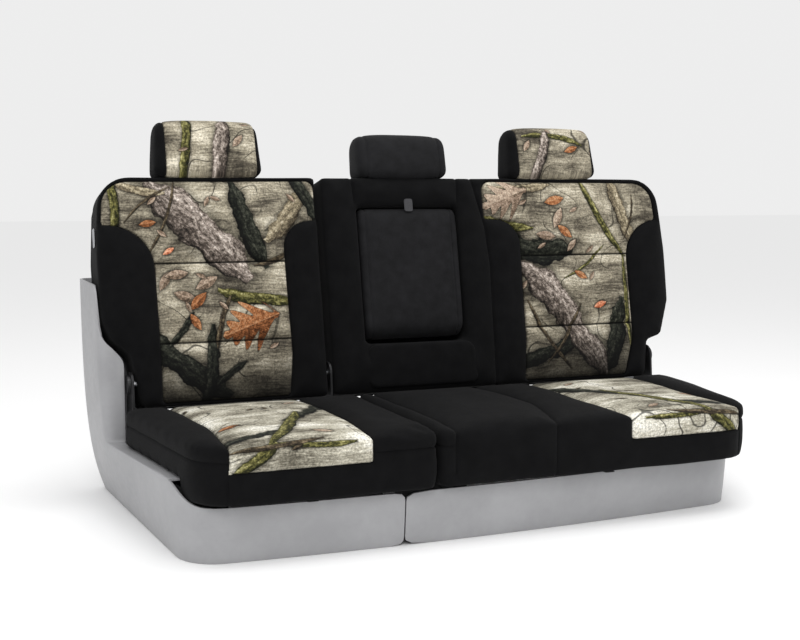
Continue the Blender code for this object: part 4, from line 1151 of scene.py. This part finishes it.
# what is laid on the grain, lowest first. Limbs: (place, angle, length, width, kind, bow, roughness);
# leaves: (place, angle, length, kind, lobes)
BACK_LIMBS = {"left": (
    ((-0.580, 0.030), -38, 0.26, 0.055, "dark", 0.01, 0.35),
    ((-0.515, 0.030), 82, 0.20, 0.030, "dark", 0.01, 0.35),
    ((-0.470, 0.012), 36, 0.09, 0.016, "dark", 0.0, 0.35),
    ((-0.412, 0.365), -68, 0.23, 0.045, "dark", 0.01, 0.4),
    ((-0.305, 0.385), 50, 0.17, 0.042, "pale", 0.01, 0.4),
    ((-0.26, 0.44), -62, 0.14, 0.036, "dark", 0.0, 0.4),
    ((-0.531, 0.352), -47, 0.34, 0.088, "bark", 0.012, 0.3),
    ((-0.67, 0.452), -12, 0.13, 0.022, "pale", 0.01),
    ((-0.606, 0.385), 69, 0.20, 0.007, "twig", 0.012),
    ((-0.655, 0.425), 38, 0.14, 0.006, "twig", -0.01),
    ((-0.724, 0.415), 93, 0.15, 0.020, "green", 0.004),
    ((-0.335, 0.286), 24, 0.13, 0.013, "twig", 0.01),
    ((-0.395, 0.186), -10, 0.20, 0.032, "green", 0.008, 0.2),
    ((-0.487, 0.135), 74, 0.13, 0.013, "twig", -0.006),
    ((-0.580, 0.118), 52, 0.10, 0.016, "dark", 0.004),
), "right": (
    ((0.40, 0.02), 22, 0.24, 0.040, "dark", 0.02, 0.4),
    ((0.600, 0.05), 68, 0.22, 0.050, "dark", 0.02, 0.5),
    ((0.385, 0.285), -8, 0.20, 0.060, "dark", 0.02, 0.5),
    ((0.640, 0.395), -72, 0.20, 0.040, "pale", 0.01, 0.4),
    ((0.455, 0.110), -53, 0.40, 0.078, "bark", -0.012, 0.3),
    ((0.350, 0.455), 2, 0.16, 0.024, "pale", 0.01, 0.4),
    ((0.386, 0.060), -59, 0.22, 0.010, "twig", 0.01),
    ((0.445, 0.062), 54, 0.19, 0.009, "twig", 0.01),
    ((0.288, 0.361), -14, 0.16, 0.022, "green", 0.008),
    ((0.640, 0.120), 93, 0.32, 0.015, "green", -0.012, 0.15),
    ((0.569, 0.375), -60, 0.26, 0.017, "green", 0.016, 0.15),
    ((0.520, 0.250), 34, 0.16, 0.007, "green", 0.01),
    ((0.672, 0.375), 74, 0.13, 0.006, "twig", 0.01),
)}
BACK_LEAVES = {"left": (
    ((-0.616, 0.236), 62, 0.050, "tan"), ((-0.588, 0.250), 8, 0.056, "tan"),
    ((-0.518, 0.228), 28, 0.062, "tan"), ((-0.570, 0.196), -22, 0.060, "tan"),
    ((-0.541, 0.185), 44, 0.058, "orange"), ((-0.549, 0.136), -58, 0.046, "orange"),
    ((-0.604, 0.306), 30, 0.030, "red"), ((-0.650, 0.372), 8, 0.040, "orange"),
    ((-0.414, 0.124), 20, 0.150, "orange", 4),
), "right": (
    ((0.294, 0.432), 20, 0.140, "tan", 4), ((0.443, 0.376), 66, 0.060, "tan"),
    ((0.404, 0.330), -8, 0.058, "tan"), ((0.462, 0.340), -40, 0.052, "orange"),
    ((0.437, 0.424), 12, 0.060, "orange"), ((0.482, 0.303), 52, 0.040, "tan"),
    ((0.500, 0.222), -30, 0.042, "orange"), ((0.552, 0.140), 18, 0.040, "red"),
)}
SEAT_LIMBS = (
    ((0.36, -0.14), 58, 0.26, 0.030, "dark", 0.02, 0.6),
    ((0.56, -0.36), 14, 0.22, 0.026, "dark", 0.01, 0.6),
    ((0.434, -0.413), -3, 0.18, 0.014, "green", 0.006, 0.2),
    ((0.448, -0.280), 63, 0.31, 0.028, "green", 0.012, 0.2),
    ((0.556, -0.440), 35, 0.12, 0.026, "green", 0.004, 0.2),
    ((0.51, -0.41), 6, 0.20, 0.012, "twig", 0.006),
)
HEAD_LIMBS = {"left": (
    ((-0.055, 0.05), 84, 0.20, 0.022, "green", 0.006, 0.2),
    ((0.030, 0.04), 80, 0.20, 0.034, "bark", 0.006, 0.3),
), "right": (
    ((0.000, 0.085), -8, 0.18, 0.018, "green", -0.016, 0.2),
    ((-0.040, 0.030), 70, 0.16, 0.030, "bark", 0.006, 0.3),
)}
HEAD_LEAVES = {"left": (
    ((0.070, 0.055), 50, 0.040, "tan"),
), "right": (
    ((0.052, 0.045), 20, 0.044, "orange"), ((-0.080, 0.055), 60, 0.036, "tan"),
)}


def back_print(name, shift, scale, amount, seed):
    """The print of a backrest, with its quilting rows; painted shade makes it darker towards the fold
    above the cushion.
    """
    camo = Camo("print_back_" + name, BACK_TONES, shift)
    camo.draw(BACK_LIMBS[name], BACK_LEAVES[name])
    camo.scatter(scale, 0.014, "tan", amount, seed)
    # painted shade along each quilting row
    for z in QUILT_Z:
        camo.paint_crease_shade(up(z))
    return camo.finish(camo.smooth(camo.v, shift[1] - 0.055, shift[1] + 0.120, 0.90, 0.0))


def seat_print(name, shift):
    camo = Camo("print_seat_" + name, SEAT_TONES, shift)
    side = -1 if name == "left" else 1
    limbs = [((side * x, y), -side * angle, *rest) for (x, y), angle, *rest in SEAT_LIMBS]
    camo.draw(limbs, (((side * 0.57, -0.245), -side * 20, 0.052, "orange"),
                      ((side * 0.40, -0.355), side * 30, 0.044, "tan"),
                      ((side * 0.37, -0.02), 40, 0.044, "tan")))
    camo.scatter(12.0, 0.013, "twig", 0.25, 1.3)
    # painted shade, darker towards the rear of the seat under the backrests
    return camo.finish(camo.smooth(camo.v, shift[1], shift[1] + 0.09, 0.0, 0.7))


def head_print(name, shift):
    camo = Camo("print_head_" + name, BACK_TONES, shift)
    camo.draw(HEAD_LIMBS[name], HEAD_LEAVES[name])
    camo.scatter(13.0, 0.012, "tan", 0.3, 5.1)
    return camo.finish()


BACK_PRINTS = {"left": back_print("left", (0.0, 0.0), 11.0, 0.28, 0.4),
               "right": back_print("right", (3.1, 1.7), 10.0, 0.3, 2.4)}
SEAT_PRINTS = {"left": seat_print("left", (0.0, 0.0)), "right": seat_print("right", (4.0, 2.0))}
HEAD_PRINTS = {"left": head_print("left", (7.0, 0.0)), "right": head_print("right", (9.0, 3.0))}

build_skirt("base_skirt_left", -1, BASE_SEAM_X - 0.0015)
build_skirt("base_skirt_right", 1, BASE_SEAM_X + 0.0015)
for name, side in (("left", -1), ("right", 1)):
    build_back(name, side)
    build_cushion(name, side)
build_armrest()
build_lower_pad()
for name in ("left", "centre", "right"):
    build_headrest(name)

# ---- hardware that keeps its CAD shape ----
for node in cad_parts:
    if node.startswith(("seat_", "hinge_bracket", "back_board")):
        carry(node, BLACK_STEEL)
    elif node.startswith(("pivot_cap", "headrest_guide", "strap_buckle", "zip_tape")):
        carry(node, BLACK_PLASTIC)
    elif node.startswith(("hinge_rod", "headrest_post", "armrest_tube", "zip_slider")):
        carry(node, BRIGHT_STEEL)
    elif node.startswith("back_flap"):
        carry(node, FLAP)
    elif node.startswith("hem_strap"):
        carry(node, WEBBING)
carry("pull_tab", TAB)
carry("edge_tag", TAG)

# ---- studio ----
floor_mesh = bpy.data.meshes.new("floor")
floor_mesh.from_pydata([(-30, -30, 0), (30, -30, 0), (30, 30, 0), (-30, 30, 0)], [], [(0, 1, 2, 3)])
floor = bpy.data.objects.new("floor", floor_mesh)
bpy.context.scene.collection.objects.link(floor)
floor_paint = Graph("floor_paint", 1.0, specular=0.0)
assign(floor, floor_paint.done(colour=(0.95, 0.95, 0.95)))
floor.location.z = -0.0005

world = bpy.data.worlds.new("studio")
world.use_nodes = True
world.node_tree.nodes["Background"].inputs[0].default_value = (1.0, 1.0, 1.0, 1.0)
world.node_tree.nodes["Background"].inputs[1].default_value = 0.85
bpy.context.scene.world = world


def softbox(name, at, aim, size, power):
    light = bpy.data.lights.new(name, "AREA")
    light.shape = "RECTANGLE"
    light.size, light.size_y = size
    light.energy = power
    holder = bpy.data.objects.new(name, light)
    holder.location = at
    holder.rotation_euler = (Vector(aim) - Vector(at)).to_track_quat("-Z", "Y").to_euler()
    bpy.context.scene.collection.objects.link(holder)


softbox("key", (-1.6, -3.2, 2.8), (0, 0, 0.4), (1.8, 1.4), 45)
softbox("top", (0.3, -0.6, 3.2), (0, 0, 0.4), (2.4, 1.6), 40)

camera = bpy.data.cameras.new("camera")
camera.lens = 55.17
camera.sensor_width = 36
camera_object = bpy.data.objects.new("camera", camera)
camera_object.location = (-1.188, -2.706, 0.742)
camera_object.rotation_euler = (math.radians(90 - 5.95), 0, math.radians(-22.16))
bpy.context.scene.collection.objects.link(camera_object)
bpy.context.scene.camera = camera_object

bpy.context.scene.view_settings.view_transform = "Standard"
bpy.context.scene.view_settings.look = "None"
